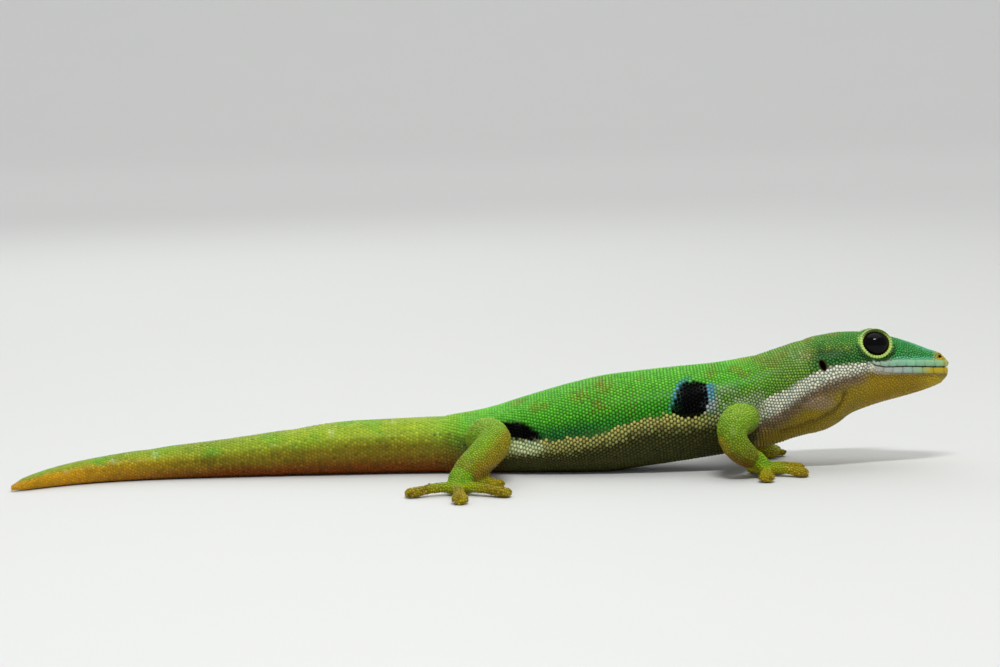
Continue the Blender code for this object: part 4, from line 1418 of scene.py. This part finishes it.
def lipPlate(first, last, low, high, name, level):
    # one closed plate: a bulged front, a rim, and a back sunk in the skin
    across, upward = lips["across"], lips["upward"]
    u, v = np.meshgrid(np.linspace(-1, 1, across), np.linspace(-1, 1, upward), indexing="ij")
    places = np.empty((across, upward, 3))
    stops, tints = (np.array(row) for row in zip(*lipTones[name]))
    centre = np.abs((first + last) / 2 + u.ravel() * (last - first) / 2)
    tone = np.stack([np.interp(centre, stops, tints[:, part]) for part in range(3)], axis=1) * level
    for i in range(across):
        for j in range(upward):
            x = u[i, j] * (1 - 0.05 * v[i, j] ** 4)
            y = v[i, j] * (1 - 0.08 * u[i, j] ** 4)
            along = (first + last) / 2 + x * (last - first) / 2
            places[i, j] = besideMouth(along, (low + high) / 2 + y * (high - low) / 2)[0]
    out = unit(np.cross(np.gradient(places, axis=0), np.gradient(places, axis=1)))
    away = places - np.array([49.0, pose["rollMiddle"][0], 11.2])
    out *= np.sign((out * away).sum(2, keepdims=True))
    bulge = (1 - u**4) * (1 - v**4)
    front = places + out * (0.02 + lips["thick"] * bulge**0.6)[:, :, None]
    edge = [(i, 0) for i in range(across)] + [(across - 1, j) for j in range(1, upward)]
    edge += [(i, upward - 1) for i in range(across - 2, -1, -1)]
    edge += [(0, j) for j in range(upward - 2, 0, -1)]
    back = [places[i, j] - out[i, j] * lips["sink"] for i, j in edge]
    middle = places[across // 2, upward // 2] - out[across // 2, upward // 2] * lips["sink"]
    verts = [*front.reshape(-1, 3), *back, middle]
    quads = []
    for i in range(across - 1):
        for j in range(upward - 1):
            near, far = i * upward + j, (i + 1) * upward + j
            quads.append((near, far, far + 1, near + 1))
    base = across * upward
    count = len(edge)
    for n in range(count):
        (i, j), (k, m) = edge[n], edge[(n + 1) % count]
        quads.append((k * upward + m, i * upward + j, base + n, base + (n + 1) % count))
        quads.append((base + (n + 1) % count, base + n, base + count))
    # painted shade: each plate darkens towards its edges, and its sunk sides and back are darker still
    front = tone * (0.84 + 0.16 * bulge**0.5).ravel()[:, None]
    behind = np.tile(tone.mean(0) * 0.6, (count + 1, 1))
    return leaned(np.array(verts)), quads, np.concatenate([front, behind])


def pieceFrom(name, parts, finish):
    verts, faces, tints, base = [], [], [], 0
    for places, corners, colours in parts:
        verts.append(places)
        faces += [tuple(corner + base for corner in face) for face in corners]
        tints.append(colours)
        base += len(places)
    made = meshObject(name, (np.concatenate(verts) * mm).tolist(), faces)
    faceOutwards(made)
    made.data.shade_smooth()
    tintPoints(made, np.concatenate(tints))
    layUnwrap(made)
    made.data.materials.append(finish)
    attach(made, "root")


def lipRow(name):
    row = lips[name]
    ends = np.linspace(0, 1, row["count"] + 1) ** 1.08
    ends = row["end"] - (row["end"] - row["start"]) * ends[::-1]
    draw = np.random.default_rng(8)
    plates = []
    spans = [(-row["start"], row["start"])] + [(a, b) for a, b in zip(ends[:-1], ends[1:])]
    spans += [(-b, -a) for a, b in zip(ends[:-1], ends[1:])]
    for first, last in spans:
        centre = abs(first + last) / 2
        height = np.interp(centre, *np.array(row["heights"]).T) * (1.12 if centre < 0.1 else 1)
        low, high = sorted((row["sign"] * 0.05, row["sign"] * height))
        span = first + lips["gap"], last - lips["gap"]
        plates.append(lipPlate(*span, low, high, name, draw.uniform(0.94, 1.06)))
    return plates


# The lids: a smooth ring round each eye, with a golden inner edge

rim = {
    "radius": 1.69, "wide": 0.19, "high": 0.13, "steps": 132, "sides": 10, "beads": 33,
    "beadHeight": 0.16, "gold": (0.50, 0.42, 0.05),
    "standOff": 0.14, "smoothing": 12,  # where it reads the skin's height, and how it evens it out
}


def eyeRim(side):
    middle, outward, upward, forward = (np.array(part) for part in eyeFrame(side))
    angles = np.arange(rim["steps"]) * 2 * math.pi / rim["steps"]
    rays = np.cos(angles)[:, None] * forward + np.sin(angles)[:, None] * upward * 0.96
    outs = []
    for ray in rays:
        far = middle + ray * (rim["radius"] + rim["standOff"]) + outward * 4
        hit = skinTree.ray_cast(Vector(far), Vector(-outward))[0]
        outs.append((np.array(hit) - middle) @ outward)
    outs = np.array(outs)
    for _ in range(rim["smoothing"]):
        outs = (np.roll(outs, 1) + outs * 2 + np.roll(outs, -1)) / 4
    verts, tints = [], []
    gold, green = np.array(rim["gold"]), np.array(tones["ring"])
    for angle, ray, out in zip(angles, rays, outs):
        bead = math.cos(angle * rim["beads"])
        for step in range(rim["sides"]):
            turn = 2 * math.pi * step / rim["sides"]
            full = 1 + rim["beadHeight"] * bead * (math.sin(turn) > -0.1)
            place = ray * (rim["radius"] + rim["wide"] * full * math.cos(turn))
            verts.append(middle + place + outward * (out + rim["high"] * full * math.sin(turn)))
            inner = (0.5 - 0.5 * math.cos(turn)) ** 5
            # painted light and shade: each bead is lighter on its raised top and darker between beads
            tints.append((green * (1 - inner) + gold * inner) * (0.84 + 0.16 * bead))
    faces = []
    for ring in range(rim["steps"]):
        after = (ring + 1) % rim["steps"]
        for step in range(rim["sides"]):
            turn = (step + 1) % rim["sides"]
            faces.append(tuple(
                a * rim["sides"] + b for a, b in ((ring, step), (after, step), (after, turn), (ring, turn))
            ))
    return np.array(verts), faces, np.array(tints)


smooth = skinFinish("lipsAndLids", roughness=(0.28, 0.42), grainSize=0.05, grainDepth=0.006, coat=0.1)
pieceFrom("upperLip", lipRow("upper"), smooth)
pieceFrom("lowerLip", lipRow("lower"), smooth)
pieceFrom("eyeRims", [eyeRim(side) for side in (-1, 1)], smooth)
print("lips and lids set")

bpy.data.objects.remove(guide)
